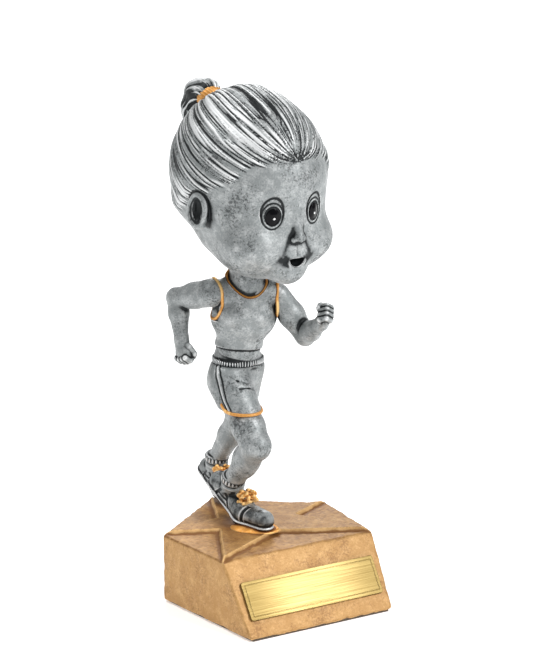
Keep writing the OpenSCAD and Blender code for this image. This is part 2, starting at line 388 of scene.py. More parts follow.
def store_wear(mesh, points, out, distance, around=None, marks=None):
    """Stores how deep in a hollow and how high on a ridge each point lies; the hollow also holds
    painted shade from the neighbours. marks() adds to both, with painted shade and highlight.
    """
    wide = around or distance
    bent = bend(distance, points, out)
    # Dark in hollows for the wash, and painted shade where the neighbours in around() come close.
    wash_and_shade = (
        sum(np.clip(1 - wide(points + r * out) / r, 0, 1) for r in HOLLOW_REACH) / len(HOLLOW_REACH)
    )
    wash_and_shade = wash_and_shade + np.clip(-1.5 * bent, 0, 0.6)
    rub_and_highlight = np.clip(2.4 * bent - 0.12, 0, 1)
    if marks:
        darkening, brighter = marks(points)
        wash_and_shade, rub_and_highlight = wash_and_shade + darkening, rub_and_highlight + brighter
    store(mesh, "wash_and_shade", np.clip(wash_and_shade, 0, 1))
    store(mesh, "rub_and_highlight", np.clip(rub_and_highlight, 0, 1))


MOST_TRIANGLES = 190000


def thin_out(piece, triangles):
    """Takes triangles away where the piece is flattest, until it has few enough."""
    if triangles > MOST_TRIANGLES:
        thinner = piece.modifiers.new("thin out", "DECIMATE")
        thinner.ratio = MOST_TRIANGLES / triangles
        graph = bpy.context.evaluated_depsgraph_get()
        mesh = bpy.data.meshes.new_from_object(piece.evaluated_get(graph))
        piece.modifiers.clear()
        piece.data = mesh
        mesh.polygons.foreach_set("use_smooth", np.ones(len(mesh.polygons), bool))
    points = np.zeros(len(piece.data.vertices) * 3, np.float32)
    piece.data.vertices.foreach_get("co", points)
    return points.reshape(-1, 3).astype(float) / MM


def sculpt(name, distance, low, high, cell, material, around=None, marks=None):
    """Skins a distance in a box. around() also counts the neighbours, for the shade in hollows."""
    low, high = np.asarray(low, float) - 3 * cell, np.asarray(high, float) + 3 * cell
    points, faces = nets(sample(distance, low, high, cell), low, cell)
    points = settle(distance, points, cell)
    piece = make_mesh(name, points, faces, material)
    points = thin_out(piece, len(faces) * 2)
    _, out, _ = slope(distance, points)
    store_wear(piece.data, points, out, distance, around, marks)
    print(f"{name}: {sum(len(p.vertices) - 2 for p in piece.data.polygons)} triangles")
    return piece


# %% [markdown]
# ## Paint
# The figure is painted like old silver: a grey metal paint, then a dark wash that stays in every
# hollow, then a nearly dry brush that leaves light paint on the ridges. The base gets the same
# treatment in gold. One node group does it for all of them. It takes the stored hollow and ridge
# of each point, which also carry painted shade and painted highlight, breaks them up with noise,
# and puts out a colour, a roughness and a fine cast texture.

# %% A node-group helper and the shared paint group
def new_group(name, inputs, outputs):
    group = bpy.data.node_groups.new(name, "ShaderNodeTree")
    for label, kind, value in inputs:
        socket = group.interface.new_socket(name=label, in_out="INPUT", socket_type=kind)
        socket.default_value = value
    for label, kind in outputs:
        group.interface.new_socket(name=label, in_out="OUTPUT", socket_type=kind)
    return group, group.nodes.new("NodeGroupInput"), group.nodes.new("NodeGroupOutput")


def wire(tree, start, end):
    tree.links.new(start, end)


def maths(tree, operation, *values, clamp=True):
    node = tree.nodes.new("ShaderNodeMath")
    node.operation = operation
    node.use_clamp = clamp
    for socket, value in zip(node.inputs, values):
        if isinstance(value, (int, float)):
            socket.default_value = value
        else:
            wire(tree, value, socket)
    return node.outputs[0]


def between(tree, value, start, end):
    node = tree.nodes.new("ShaderNodeMapRange")
    node.interpolation_type = "SMOOTHSTEP"
    node.inputs["From Min"].default_value = start
    node.inputs["From Max"].default_value = end
    wire(tree, value, node.inputs["Value"])
    return node.outputs["Result"]


def blend_colours(tree, share, below, above, how="MIX"):
    node = tree.nodes.new("ShaderNodeMix")
    node.data_type = "RGBA"
    node.blend_type = how
    for socket, value in (
        (node.inputs[0], share), (node.inputs[6], below), (node.inputs[7], above)
    ):
        if isinstance(value, (int, float, tuple)):
            socket.default_value = value
        else:
            wire(tree, value, socket)
    return node.outputs[2]


def noise(tree, size_mm, detail=3.0, rough=0.6, stretch=(1, 1, 1)):
    """Noise on object coordinates, with lumps of about a size in millimetres."""
    place = tree.nodes.new("ShaderNodeTexCoord").outputs["Object"]
    scale = tree.nodes.new("ShaderNodeMapping")
    scale.inputs["Scale"].default_value = tuple(s / (size_mm * MM) for s in stretch)
    wire(tree, place, scale.inputs["Vector"])
    node = tree.nodes.new("ShaderNodeTexNoise")
    node.inputs["Scale"].default_value = 1
    node.inputs["Detail"].default_value = detail
    node.inputs["Roughness"].default_value = rough
    wire(tree, scale.outputs["Vector"], node.inputs["Vector"])
    return node.outputs["Fac"]


def stored(tree, name):
    node = tree.nodes.new("ShaderNodeAttribute")
    node.attribute_name = name
    return node.outputs["Fac"]


def make_antique_group():
    group, given, result = new_group(
        "antique paint",
        [
            ("Wash", "NodeSocketColor", (0.02, 0.02, 0.02, 1)),
            ("Paint", "NodeSocketColor", (0.3, 0.3, 0.3, 1)),
            ("Dry brush", "NodeSocketColor", (0.8, 0.8, 0.8, 1)),
            ("Wash depth", "NodeSocketFloat", 1.0),
            ("Brush amount", "NodeSocketFloat", 1.0),
            ("Mottle", "NodeSocketFloat", 0.5),
            ("Specks", "NodeSocketFloat", 0.5),
        ],
        [
            ("Color", "NodeSocketColor"),
            ("Roughness", "NodeSocketFloat"),
            ("Height", "NodeSocketFloat"),
        ],
    )
    fine, patch = noise(group, 0.5, 4), noise(group, 3.0, 4)
    grain, broad = noise(group, 0.2, 1), noise(group, 9.0, 2)
    wash_and_shade, rub_and_highlight = stored(group, "wash_and_shade"), stored(group, "rub_and_highlight")
    clouds = maths(
        group, "ADD", maths(group, "MULTIPLY", fine, 0.45), maths(group, "MULTIPLY", patch, 0.55)
    )
    lit = maths(group, "MULTIPLY", between(group, clouds, 0.42, 0.72), given.outputs["Mottle"])
    shade = blend_colours(group, lit, given.outputs["Paint"], given.outputs["Dry brush"])
    small_spots = maths(group, "MULTIPLY", noise(group, 0.7, 4, 0.75), 0.6)
    dark_spots = maths(group, "ADD", small_spots, maths(group, "MULTIPLY", broad, 0.4))
    specks = maths(
        group, "MULTIPLY", between(group, dark_spots, 0.50, 0.63), given.outputs["Specks"]
    )
    speckled = blend_colours(group, specks, shade, given.outputs["Wash"])
    # The stored darkness is the wash in hollows together with painted shade; it pulls the colour
    # towards the wash.
    deep = maths(group, "ADD", wash_and_shade, maths(group, "MULTIPLY_ADD", fine, 0.3, -0.14, clamp=False))
    wash = maths(group, "MULTIPLY", between(group, deep, 0.14, 0.46), given.outputs["Wash depth"])
    washed_and_shaded = blend_colours(group, wash, speckled, given.outputs["Wash"])
    # The stored brightness is the dry brush on ridges together with painted highlight.
    high = maths(group, "SUBTRACT", rub_and_highlight, maths(group, "MULTIPLY", grain, 0.35), clamp=False)
    rubbed_and_highlit = maths(
        group, "MULTIPLY", between(group, high, -0.02, 0.5), given.outputs["Brush amount"]
    )
    coloured = blend_colours(group, rubbed_and_highlit, washed_and_shaded, given.outputs["Dry brush"])
    wire(group, coloured, result.inputs["Color"])
    wire(group, maths(group, "MULTIPLY_ADD", clouds, -0.2, 0.62), result.inputs["Roughness"])
    wire(
        group,
        maths(group, "ADD", fine, maths(group, "MULTIPLY", grain, 0.6), clamp=False),
        result.inputs["Height"],
    )
    return group


antique = make_antique_group()

# %% Painted finishes
def new_material(name, slot_colour=(0.5, 0.5, 0.5, 1), metallic=0.0, roughness=0.5):
    material = bpy.data.materials.new(name)
    material.use_nodes = True
    material.diffuse_color = slot_colour
    shader = material.node_tree.nodes["Principled BSDF"]
    shader.inputs["Base Color"].default_value = slot_colour
    shader.inputs["Metallic"].default_value = metallic
    shader.inputs["Roughness"].default_value = roughness
    return material, material.node_tree, shader


def rough_up(tree, shader, height, strength, depth_mm):
    bump = tree.nodes.new("ShaderNodeBump")
    bump.inputs["Strength"].default_value = strength
    bump.inputs["Distance"].default_value = depth_mm * MM
    wire(tree, height, bump.inputs["Height"])
    wire(tree, bump.outputs["Normal"], shader.inputs["Normal"])


def antique_paint(
    name, wash, paint, brush, metallic, depth=1.0, amount=1.0, mottle=0.5, specks=0.5, bump_mm=0.05
):
    material, tree, shader = new_material(name, paint + (1,), metallic)
    node = tree.nodes.new("ShaderNodeGroup")
    node.node_tree = antique
    for label, colour in (("Wash", wash), ("Paint", paint), ("Dry brush", brush)):
        node.inputs[label].default_value = colour + (1,)
    for label, value in (
        ("Wash depth", depth), ("Brush amount", amount), ("Mottle", mottle), ("Specks", specks)
    ):
        node.inputs[label].default_value = value
    wire(tree, node.outputs["Color"], shader.inputs["Base Color"])
    wire(tree, node.outputs["Roughness"], shader.inputs["Roughness"])
    rough_up(tree, shader, node.outputs["Height"], 0.5, bump_mm)
    return material


silver = antique_paint(
    "antique silver",
    wash=(0.010, 0.013, 0.014),
    paint=(0.27, 0.29, 0.292),
    brush=(0.76, 0.775, 0.78),
    metallic=0.4,
    mottle=0.6,
    specks=0.75,
)
gold_trim = antique_paint(
    "gold trim",
    wash=(0.10, 0.035, 0.010),
    paint=(0.66, 0.28, 0.055),
    brush=(0.98, 0.64, 0.26),
    metallic=0.5,
    mottle=0.5,
    specks=0.25,
)

# %% [markdown]
# ## The pose
# The runner is caught in mid stride: right leg leading, left arm forward, chest turned against
# the hips. A pose is a set of bone lengths and directions, as on a wire armature. Each joint is
# reached from the one before it, so the same numbers as in the CAD model give the same places.

# %% The armature
STAR_RISE = 1.1
BASE_TOP = box_mm("base_casting")[1][2] - STAR_RISE
HEAD_TURN = 5


def reach(start, run, heading, rise):
    heading, rise = math.radians(heading), math.radians(rise)
    way = np.array(
        [math.sin(heading) * math.cos(rise), -math.cos(heading) * math.cos(rise), math.sin(rise)]
    )
    return start + run * way


def above_base(x, y, z):
    return np.array([x, y, z + BASE_TOP])


pelvis = above_base(-3.3, 12.5, 45)
waist = reach(pelvis, 9.4, 0, 76)
chest = reach(waist, 10.3, 0, 75)
neck = reach(chest, 8.1, 0, 81)
right_hip = reach(pelvis, 5.6, -51, -5)
right_knee = reach(right_hip, 21.7, 1, -47)
right_ankle = reach(right_knee, 20.2, 177, -46)
left_hip = reach(pelvis, 5, 115, 18)
left_knee = reach(left_hip, 18, 171, -76)
left_ankle = reach(left_knee, 19.3, -175, -54)
right_shoulder = reach(chest, 11.8, -105, 32)
right_elbow = reach(right_shoulder, 12.6, -159, -11)
right_wrist = reach(right_elbow, 12.2, -14, -70)
right_fist = reach(right_wrist, 4.4, 0, -73)
left_shoulder = reach(chest, 12.3, 62, 27)
left_elbow = reach(left_shoulder, 13.9, 66, -60)
left_wrist = reach(left_elbow, 15.4, -13, 27)
left_fist = reach(left_wrist, 5.3, -14, 41)
right_shoe = [above_base(-6.6, 15.8, 11.6), above_base(-5.4, 3.6, 5), above_base(-3.4, -3.6, 4.5)]
left_shoe = [above_base(1.2, 35.2, 9.4), above_base(1.3, 26.2, 5.2), above_base(1.8, 20, 4.2)]
NECK_TOP = BASE_TOP + 79
CHIN_Z = BASE_TOP + 77.6
print("neck at", neck.round(1), "CAD neck plug at", [v.round(1) for v in box_mm("neck_plug")])

# %% [markdown]
# ## The runner's body
# Skin, vest, shorts, socks and shoes were sculpted as one clay model and cast in one piece. The
# vest and shorts are only a little thicker than the skin, with a soft edge where they end. The
# vest bags a little over the waistband, the waistband is gathered, and the shorts have a welt
# down the side and a few pulled creases at the hip.

# %% Trunk
CHEST_TWIST = -20
WAIST_TWIST = -4
HIP_TWIST = 12
CLOTH = 0.45


def trunk(points):
    up = turned(points, chest, CHEST_TWIST)
    ribs = egg(up, (0, 0.2, 0.2), (9.4, 6.1, 8.4))
    shoulders = egg(up, (0, 0, 5.8), (9.6, 4.7, 4.1))
    low = turned(points, waist, WAIST_TWIST)
    middle = egg(low, (0, 0, 0.5), (6.6, 5.5, 7.5))
    return melt(melt(ribs, shoulders, 2.5), middle, 3.0)


def bust(points):
    up = turned(points, chest, CHEST_TWIST)
    right, left = [egg(up, (x, -4.2, 1.2), (3.4, 2.6, 3.0)) for x in (-3.9, 3.9)]
    return np.minimum(right, left)


def neck_and_shoulders(points):
    throat = bone(points, neck - [0, 0, 4], [neck[0], neck[1], NECK_TOP + 2], 5.0, 4.7)
    slopes = bone(
        points, right_shoulder + [1.2, -0.4, 1.6], left_shoulder + [-1.8, 0.5, 1.5], 3.0, 2.7
    )
    tendons = bone(points, neck + [-3.4, -2.6, 5.5], neck + [-0.6, -4.2, -2.6], 0.9, 0.8)
    tendons = melt(
        tendons, bone(points, neck + [3.2, -3.0, 5.5], neck + [-0.2, -4.4, -2.6], 0.9, 0.8), 0.5
    )
    return melt(melt(throat, slopes, 3.4), tendons, 0.9)


# %% Shorts and legs
def along_bone(points, start, end):
    run = end - start
    return (points - start) @ run / (run @ run)


RIGHT_HEM_Z = 58.2
LEFT_HEM = 0.55


def shorts(points):
    low = turned(points, pelvis, HIP_TWIST)
    seat = egg(low, (0, 0.4, 0.4), (7.9, 7.0, 8.2))
    band = egg(low, (0.2, -0.6, 6.6), (6.7, 5.9, 3.4))
    seat = melt(seat, band, 2.2)
    right = bone(points, right_hip, right_hip * 0.2 + right_knee * 0.8, 6.4, 5.2)
    right = keep(right, RIGHT_HEM_Z - points[:, 2], 0.25)
    left_end = left_hip + (left_knee - left_hip) * LEFT_HEM
    left = bone(points, left_hip, left_end + (left_knee - left_hip) * 0.1, 6.0, 5.0)
    left = keep(left, (along_bone(points, left_hip, left_knee) - LEFT_HEM) * 18.0, 0.25)
    return melt(melt(seat, right, 2.4), left, 2.4)


def legs(points):
    right = chain(
        points,
        [
            right_hip,
            right_hip + (right_knee - right_hip) * 0.72,
            right_knee,
            right_knee * 0.62 + right_ankle * 0.38,
            right_ankle,
        ],
        [5.2, 4.7, 4.1, 3.75, 2.9],
        1.6,
    )
    kneecap = egg(points, right_knee + [0, -1.3, -0.2], (3.0, 3.0, 3.3))
    calf = egg(points, right_knee * 0.6 + right_ankle * 0.4 + [0, 1.0, -0.6], (3.3, 3.4, 5.0))
    right = melt(melt(right, kneecap, 1.5), calf, 2.0)
    left = chain(
        points,
        [
            left_hip,
            left_hip + (left_knee - left_hip) * 0.7,
            left_knee,
            left_knee * 0.6 + left_ankle * 0.4,
            left_ankle,
        ],
        [5.0, 4.4, 3.8, 3.5, 2.7],
        1.6,
    )
    return np.minimum(right, left)


# %% [markdown]
# ## Running shoes
# A running shoe is a padded upper on a sole that stands a little proud all round. It follows
# three points: the middle of the heel, of the ball and of the toes. The sole is the outline grown
# a little, kept to the lowest millimetres above the tread. The tread bends at the ball, because
# the runner is up on the forefoot.

# %% Shoe shapes
def bell(value, centre, width):
    return np.exp(-(((value - centre) / width) ** 2))


class Shoe:
    """A shoe along heel, ball and toe points, lying on its tread."""

    def __init__(self, heel, ball_point, toe, drop):
        self.path = [np.asarray(p, float) for p in (heel, ball_point, toe)]
        self.drop = drop
        self.planes = []
        for a, b in ((0, 1), (1, 2)):
            run = unit(self.path[b] - self.path[a])
            side = unit(np.cross(run, [0, 0, 1]))
            self.planes.append((self.path[b], np.cross(side, run)))
        self.forward = unit((self.path[2] - self.path[0]) * [1, 1, 0])
        self.side = np.array([self.forward[1], -self.forward[0], 0])

    def height(self, points):
        """Height above the tread."""
        a, b = [(points - p) @ up + self.drop for p, up in self.planes]
        return melt(a, b, 1.2)

    def along(self, points):
        """0 at the heel, 1 at the ball, 2 at the toes."""
        a, b = [along_bone(points, self.path[i], self.path[i + 1]) for i in (0, 1)]
        return np.where(b > 0, 1 + b, np.minimum(a, 1))

    def foot(self, points, grow=0.0):
        heel, mid, toe = self.path
        rear = bone(points, heel, mid, 3.3 + grow, 3.5 + grow)
        front = bone(points, mid, toe, 3.5 + grow, 3.0 + grow)
        return melt(rear, front, 1.5)

    def whole(self, points):
        height, along = self.height(points), self.along(points)
        upper = keep(self.foot(points), -height, 0.6)
        sole = keep(self.foot(points, 0.5), -height, 0.35)
        sole = keep(sole, height - 1.45 - 0.5 * steps(along, 0.9, 0.0), 0.25)
        shoe = melt(upper, sole, 0.15)
        return shoe + 0.3 * bell(self.seams(points), 0, 0.3)

    def seams(self, points):
        """Distance from the nearest stitched edge of the toe cap, side and heel panels."""
        height, along = self.height(points), self.along(points)
        across = np.abs((points - self.path[1]) @ self.side)
        lines = [
            (along - 1.42 + 0.06 * across) * 6.0,
            (along - 0.86 + 0.07 * height) * 9.0,
            (along - 0.12 - 0.04 * height) * 9.0,
            height - 3.4 - 0.6 * along + 9.0 * ((along > 0.6) | (along < 0.28)),
        ]
        return np.abs(np.stack(lines)).min(0) + 9.0 * ((height < 1.9) | (height > 6.2))


front_shoe = Shoe(*right_shoe, drop=3.1)
rear_shoe = Shoe(*left_shoe, drop=3.0)


SOCK_RADIUS = 3.45


def ankle_axis(ankle, shoe):
    return unit(ankle - shoe.path[0] * 0.55 - shoe.path[1] * 0.45)


def instep(shoe):
    """The spot on top of the foot where the laces are tied."""
    return shoe.path[0] * 0.28 + shoe.path[1] * 0.72 + shoe.forward * 0.3 + np.array([0, 0, 3.7])


def collar(points, ankle, shoe):
    """The padded shoe opening, and the ribbed sock above it."""
    axis = ankle_axis(ankle, shoe)
    foot_of_shin = shoe.path[0] * 0.6 + shoe.path[1] * 0.4
    around_ankle = bone(points, foot_of_shin, ankle + axis * 0.2, 3.4, 3.2)
    pad = ring(points, ankle - axis * 1.3, axis, 2.9, 0.62)
    away = points - ankle
    along = away @ axis
    out = away - along[:, None] * axis
    past_ends = np.maximum(np.abs(along - 0.9) - 0.9, 0)
    past_side = np.maximum(length(out) - SOCK_RADIUS + 0.4, 0)
    cuff = np.hypot(past_ends, past_side) - 0.3
    tongue = bone(
        points, instep(shoe) - [0, 0, 1.0], ankle + shoe.forward * 2.2 - axis * 0.6, 1.9, 1.2
    )
    return melt(melt(melt(around_ankle, tongue, 0.8), pad, 0.35), cuff, 0.2)


# %% Vest and shorts
BAND_LOW, BAND_HIGH, VEST_HEM = 4.0, 5.75, 9.0  # heights over the pelvis
BAND_TILT = 0.11


def over_pelvis(hip):
    return hip[:, 2] + BAND_TILT * hip[:, 0]


def neck_height(x, y):
    return 6.6 + 0.11 * (x - 0.9) ** 2 + 4.8 * steps(y, -3.5, 3.5)


def neckline(up):
    """How far a point is above the vest's scooped neck, in the chest's frame."""
    return up[:, 2] - neck_height(up[:, 0], up[:, 1])


def skin(points):
    return melt(trunk(points), neck_and_shoulders(points), 2.2)


def vest_shape(points):
    vest = melt(skin(points) - CLOTH, bust(points), 1.6)
    up = turned(points, chest, CHEST_TWIST)
    hip = turned(points, pelvis, HIP_TWIST)
    vest = melt(vest, ring_egg(hip, (0.3, -1.0, VEST_HEM + 1.1), (6.0, 5.3), 0.8), 1.5)
    vest = keep(vest, neckline(up), 0.3)
    for side in (-1, 1):
        vest = np.maximum(vest, armhole_side(up, side))
    return keep(vest, VEST_HEM - over_pelvis(hip), 0.4)


# For each side, how far out the armhole is, and how much less to the front and back.
ARMHOLE = {-1: (8.9, 0.075), 1: (9.7, 0.04)}


def armhole_side(up, side):
    """How far a point is outside the armhole's curved cut, at the height of the shoulder."""
    out, less = ARMHOLE[side]
    return np.where(
        np.abs(up[:, 2] - 5.6) < 6.2, side * up[:, 0] - (out - less * up[:, 1] ** 2), -9.0
    )


def shorts_shape(points):
    pants = shorts(points)
    hip = turned(points, pelvis, HIP_TWIST)
    height = over_pelvis(hip)
    round_band = length(hip[:, :2] / np.array([6.75, 5.85]) - [0.03, -0.13])
    band = np.maximum(np.abs(height - 6.6) - 3.2, (round_band - 1) * 6.0)
    pants = melt(pants, band, 0.8)
    pulled = bell(height, BAND_LOW - 0.1, 0.4)
    return pants + 0.3 * pulled


def ring_egg(points, centre, radii, thickness):
    away = points - np.asarray(centre)
    flat = length(away[:, :2] / np.asarray(radii))
    out = (flat - 1) * min(radii)
    return np.hypot(out, away[:, 2] * 0.8) - thickness


CREASES = [  # start, end, half width, depth, on the shorts
    ([-10.4, 4.0, 68.0], [-8.6, 2.6, 66.6], 0.45, 0.15),
    ([-8.6, 2.6, 66.6], [-5.8, 1.7, 65.8], 0.5, 0.2),
    ([-8.9, 0.8, 64.8], [-4.6, 1.0, 64.3], 0.4, 0.25),
    ([-9.5, 6.8, 70.1], [-7.7, 6.0, 70.8], 0.5, 0.15),
    ([-4.4, 3.6, 69.4], [-6.4, 3.2, 67.8], 0.5, 0.12),
]
WELT_HEIGHT = [59.0, 61.3, 63.7, 66.6, 68.9, 70.8, 72.0]
WELT_BACK = [0.6, 2.6, 4.1, 5.7, 7.3, 9.6, 10.4]
WELT_HALF = 0.75


def welt_distance(points):
    """Distance from the line down the outer side of the right leg."""
    on_side = (
        (points[:, 0] < -6.5) & (points[:, 2] > RIGHT_HEM_Z) & (points[:, 2] < WELT_HEIGHT[-1])
    )
    return np.where(
        on_side, np.abs(points[:, 1] - np.interp(points[:, 2], WELT_HEIGHT, WELT_BACK)), 9.0
    )


# %% The whole runner
def runner(points):
    pants = shorts_shape(points)
    near = (points[:, 2] < 74) & (points[:, 2] > 54)
    if near.any():
        some = points[near]
        for start, end, width, depth in CREASES:
            pants[near] += depth * bell(bone(some, start, end, 0, 0), 0, width)
        pants[near] += 0.3 * bell(welt_distance(some), WELT_HALF, 0.28)
    body = melt(np.minimum(skin(points), vest_shape(points)), pants, 0.12)
    limbs = legs(points)
    for ankle, shoe in ((right_ankle, front_shoe), (left_ankle, rear_shoe)):
        limbs = melt(limbs, collar(points, ankle, shoe), 0.3)
        limbs = melt(limbs, shoe.whole(points), 0.45)
    body = np.minimum(body, limbs)
    return np.maximum(body, points[:, 2] - NECK_TOP)


def runner_marks(points):
    """Dark wash in seams finer than the mesh, painted shade on the neck above the collar, and
    bright rims on the welt and the soles.
    """
    height = over_pelvis(turned(points, pelvis, HIP_TWIST))
    at_waist = points[:, 2] > 60
    up = turned(points, chest, CHEST_TWIST)
    # Painted shade on the neck just above the front of the vest's collar.
    painted_collar_shade = bell(neckline(up), 0.9, 0.8) * (length(up[:, :2]) < 6.5)
    lines = 0.45 * bell(height, VEST_HEM - 0.15, 0.3) + 0.15 * bell(height, BAND_LOW - 0.1, 0.3)
    in_band = steps(np.abs(height - (BAND_LOW + BAND_HIGH) / 2), 1.2, 0.7)
    darkening = (lines + 0.25 * in_band) * at_waist + 0.4 * painted_collar_shade
    welt = welt_distance(points)
    darkening += 0.45 * bell(welt, WELT_HALF, 0.2)
    brighter = 0.18 * bell(welt, 0, 0.35)
    for ankle, shoe in ((right_ankle, front_shoe), (left_ankle, rear_shoe)):
        axis = ankle_axis(ankle, shoe)
        along = (points - ankle) @ axis
        darkening += 0.5 * bell(along, 0.9, 0.9) * (length(points - ankle) < 4.6)
    for shoe in (front_shoe, rear_shoe):
        height = shoe.height(points)
        on_shoe = shoe.foot(points, 0.6) < 0.3
        worn = 0.5 + 0.5 * lumps(points, 1.3, 27)
        seams = shoe.seams(points)
        darkening += (
            on_shoe * (0.6 * bell(height, 2.1, 0.28) + 0.55 * bell(seams, 0, 0.28) + 0.4 * worn)
        )
        brighter += on_shoe * (0.6 * bell(height, 1.45, 0.3) + 0.3 * bell(seams, 0.55, 0.2))
    return darkening, brighter


# %% [markdown]
# ## Arms
# The arms are separate castings, pinned and glued at the shoulders. The fists are closed, with
# the fingers curled into the palm and the thumb across them. Each finger is a short curved chain
# of bones, so the knuckles show.

# %% Arm shapes
def fist(points, centre, wrist, palm_side, thumb_side):
    """A closed fist. palm_side points the way the palm faces and thumb_side to the thumb."""
    run = unit(centre - wrist)
    palm = unit(np.asarray(palm_side, float) - run * (np.asarray(palm_side) @ run))
    thumb = np.cross(run, palm) * np.sign(np.cross(run, palm) @ np.asarray(thumb_side, float))
    hand = egg_in(points, centre - run * 0.5, (run, palm, thumb), (2.9, 2.0, 2.9))
    for i in range(4):
        place = centre + thumb * (2.0 - 1.33 * i) - run * (0.12 * (i - 1.2) ** 2)
        knuckle, middle = place + run * 1.1 - palm * 1.3, place + run * 2.2 + palm * 0.3
        last, tip = place + run * 0.9 + palm * 1.9, place - run * 0.7 + palm * 1.5
        curled = chain(points, [knuckle, middle, last, tip], [0.86, 0.82, 0.78, 0.7], 0.3)
        hand = melt(hand, curled, 0.22)
    root = centre - run * 2.0 + thumb * 2.2 + palm * 0.4
    middle = centre + run * 0.2 + thumb * 2.6 + palm * 1.6
    tip = centre + run * 1.1 + thumb * 1.2 + palm * 2.5
    return melt(hand, chain(points, [root, middle, tip], [1.1, 0.95, 0.75], 0.4), 0.25)


def egg_in(points, centre, axes, size):
    away = (points - np.asarray(centre)) @ np.array(axes).T
    return egg(away, (0, 0, 0), size)


def arm(points, shoulder, thick, elbow, wrist, knuckles, palm_side, thumb_side):
    upper = chain(points, [shoulder, shoulder * 0.5 + elbow * 0.5, elbow], [thick, 3.75, 3.0], 1.2)
    lower = chain(
        points,
        [elbow, elbow * 0.65 + wrist * 0.35, wrist, knuckles * 0.35 + wrist * 0.65],
        [3.0, 2.95, 1.95, 2.1],
        1.2,
    )
    point = ball(points, elbow + unit(elbow - (shoulder + wrist) / 2) * 1.0, 2.1)
    whole = melt(melt(upper, lower, 1.0), point, 1.2)
    return melt(whole, fist(points, knuckles, wrist, palm_side, thumb_side), 0.9)


def right_arm(points):
    top = right_shoulder + [0.3, -0.4, 1.2]
    return arm(points, top, 4.2, right_elbow, right_wrist, right_fist, (1, 0.2, 0), (0.2, -1, 0))


def left_arm(points):
    top = left_shoulder + [-0.8, 0.6, 0.2]
    return arm(points, top, 3.4, left_elbow, left_wrist, left_fist, (-1, 0.3, 0.3), (-0.2, 0.3, 1))


def arm_marks(points):
    """Dark wash between the fingers."""
    darkening = np.zeros(len(points))
    for knuckles in (right_fist, left_fist):
        darkening += 0.12 * steps(length(points - knuckles), 4.6, 3.0)
    return darkening, np.zeros(len(points))


# %% [markdown]
# ## The base
# The base is cast to look like cut stone: five sides, a front that slopes back for the nameplate,
# and a star raised on the top whose points reach the corners. The edges are soft and a little
# chipped, because it is poured in a rubber mould, and there is a low mound under the runner's
# front shoe.

# %% Base shape
FRONT_EDGE = -17.0
base_low, base_high = box_mm("base_casting")
SIDE_HALF = base_high[0]
FRONT_FOOT = -30.9
FRONT_HALF = 25.6
SIDE_CORNER_Y, BACK_CORNER_Y = 12.0, 33.5


def five_corners(front_half, front_y):
    """The base's outline seen from above. Only the front edge moves as the front slopes."""
    front = [[-front_half, front_y], [front_half, front_y]]
    rest = [[SIDE_HALF, SIDE_CORNER_Y], [0, BACK_CORNER_Y], [-SIDE_HALF, SIDE_CORNER_Y]]
    return np.array(front + rest)


corner_points = five_corners(FRONT_HALF, FRONT_EDGE)
notches = np.array([[0, -4.8], [13.9, 4.9], [8.7, 14.9], [-8.7, 14.9], [-13.9, 4.9]])
star = np.stack([corner_points, notches], 1).reshape(-1, 2)


def outline_gap(points, outline):
    """Distance from a closed outline in the plan view, negative inside."""
    far = np.full(len(points), 1e9)
    inside = np.zeros(len(points), bool)
    for a, b in zip(outline, np.roll(outline, -1, axis=0)):
        edge, away = b - a, points[:, :2] - a
        share = np.clip(away @ edge / (edge @ edge), 0, 1)
        far = np.minimum(far, length(away - share[:, None] * edge))
        crosses = (a[1] > points[:, 1]) != (b[1] > points[:, 1])
        along_y = edge[1] if edge[1] else 1e-9
        inside ^= crosses & (points[:, 0] < a[0] + edge[0] * (points[:, 1] - a[1]) / along_y)
    return np.where(inside, -far, far)


def base_planes():
    flare = (SIDE_HALF - FRONT_HALF) / (SIDE_CORNER_Y - FRONT_EDGE)
    ground = five_corners(FRONT_HALF - flare * (FRONT_EDGE - FRONT_FOOT), FRONT_FOOT)
    planes = []
    for a, b in zip(ground, np.roll(ground, -1, axis=0)):
        normal = unit([b[1] - a[1], a[0] - b[0], 0])
        if normal[1] < -0.99:
            normal = unit([0, -BASE_TOP, FRONT_EDGE - FRONT_FOOT])
        planes.append((normal, np.array([a[0], a[1], 0])))
    return planes


PLANES = base_planes()


def base(points):
    mound = 0.5 * np.exp(-(((points[:, 0] + 4) / 8) ** 2 + ((points[:, 1] - 1) / 9) ** 2))
    rise = STAR_RISE * steps(-outline_gap(points, star), -0.25, 0.85)
    gaps = [(points - spot) @ normal for normal, spot in PLANES]
    gaps.append((points[:, 2] - BASE_TOP - rise - mound) / 1.15)
    gaps.append(base_low[2] - points[:, 2])
    whole = gaps[0]
    for gap in gaps[1:]:
        whole = keep(whole, gap, 0.7)
    nearest = np.sort(np.stack(gaps), 0)
    at_edge = np.exp(-((nearest[-1] - nearest[-2]) / 1.2) ** 2)
    chips = 0.22 * at_edge * np.maximum(lumps(points, 2.6, 2), 0)
    rough = 0.05 * lumps(points, 0.9) + 0.05 * lumps(points, 2.2, 1) + chips
    return whole + rough


def base_marks(points):
    """Rubbed rims on the star, dark lines at its foot, and a painted shadow around the shoe."""
    gap = outline_gap(points, star)
    on_top = steps(points[:, 2], BASE_TOP - 0.9, BASE_TOP - 0.3)
    # Painted shadow: a soft darkening of the base's top around and under the front shoe.
    painted_shoe_shadow = np.exp(-(((points[:, 0] + 6) / 6) ** 2 + ((points[:, 1] - 5) / 8) ** 2))
    streak = 0.5 + 0.5 * lumps(points, 1.7, 5)
    sweep = 0.5 + 0.5 * lumps(points * [0.35, 1.0, 1.0], 5.0, 6)
    darkening = on_top * (0.6 * bell(gap, 0.55, 0.4) * streak + 0.25 * painted_shoe_shadow + 0.06 + 0.12 * sweep)
    brighter = on_top * 0.8 * bell(gap, -0.35, 0.35) * streak
    return darkening, brighter


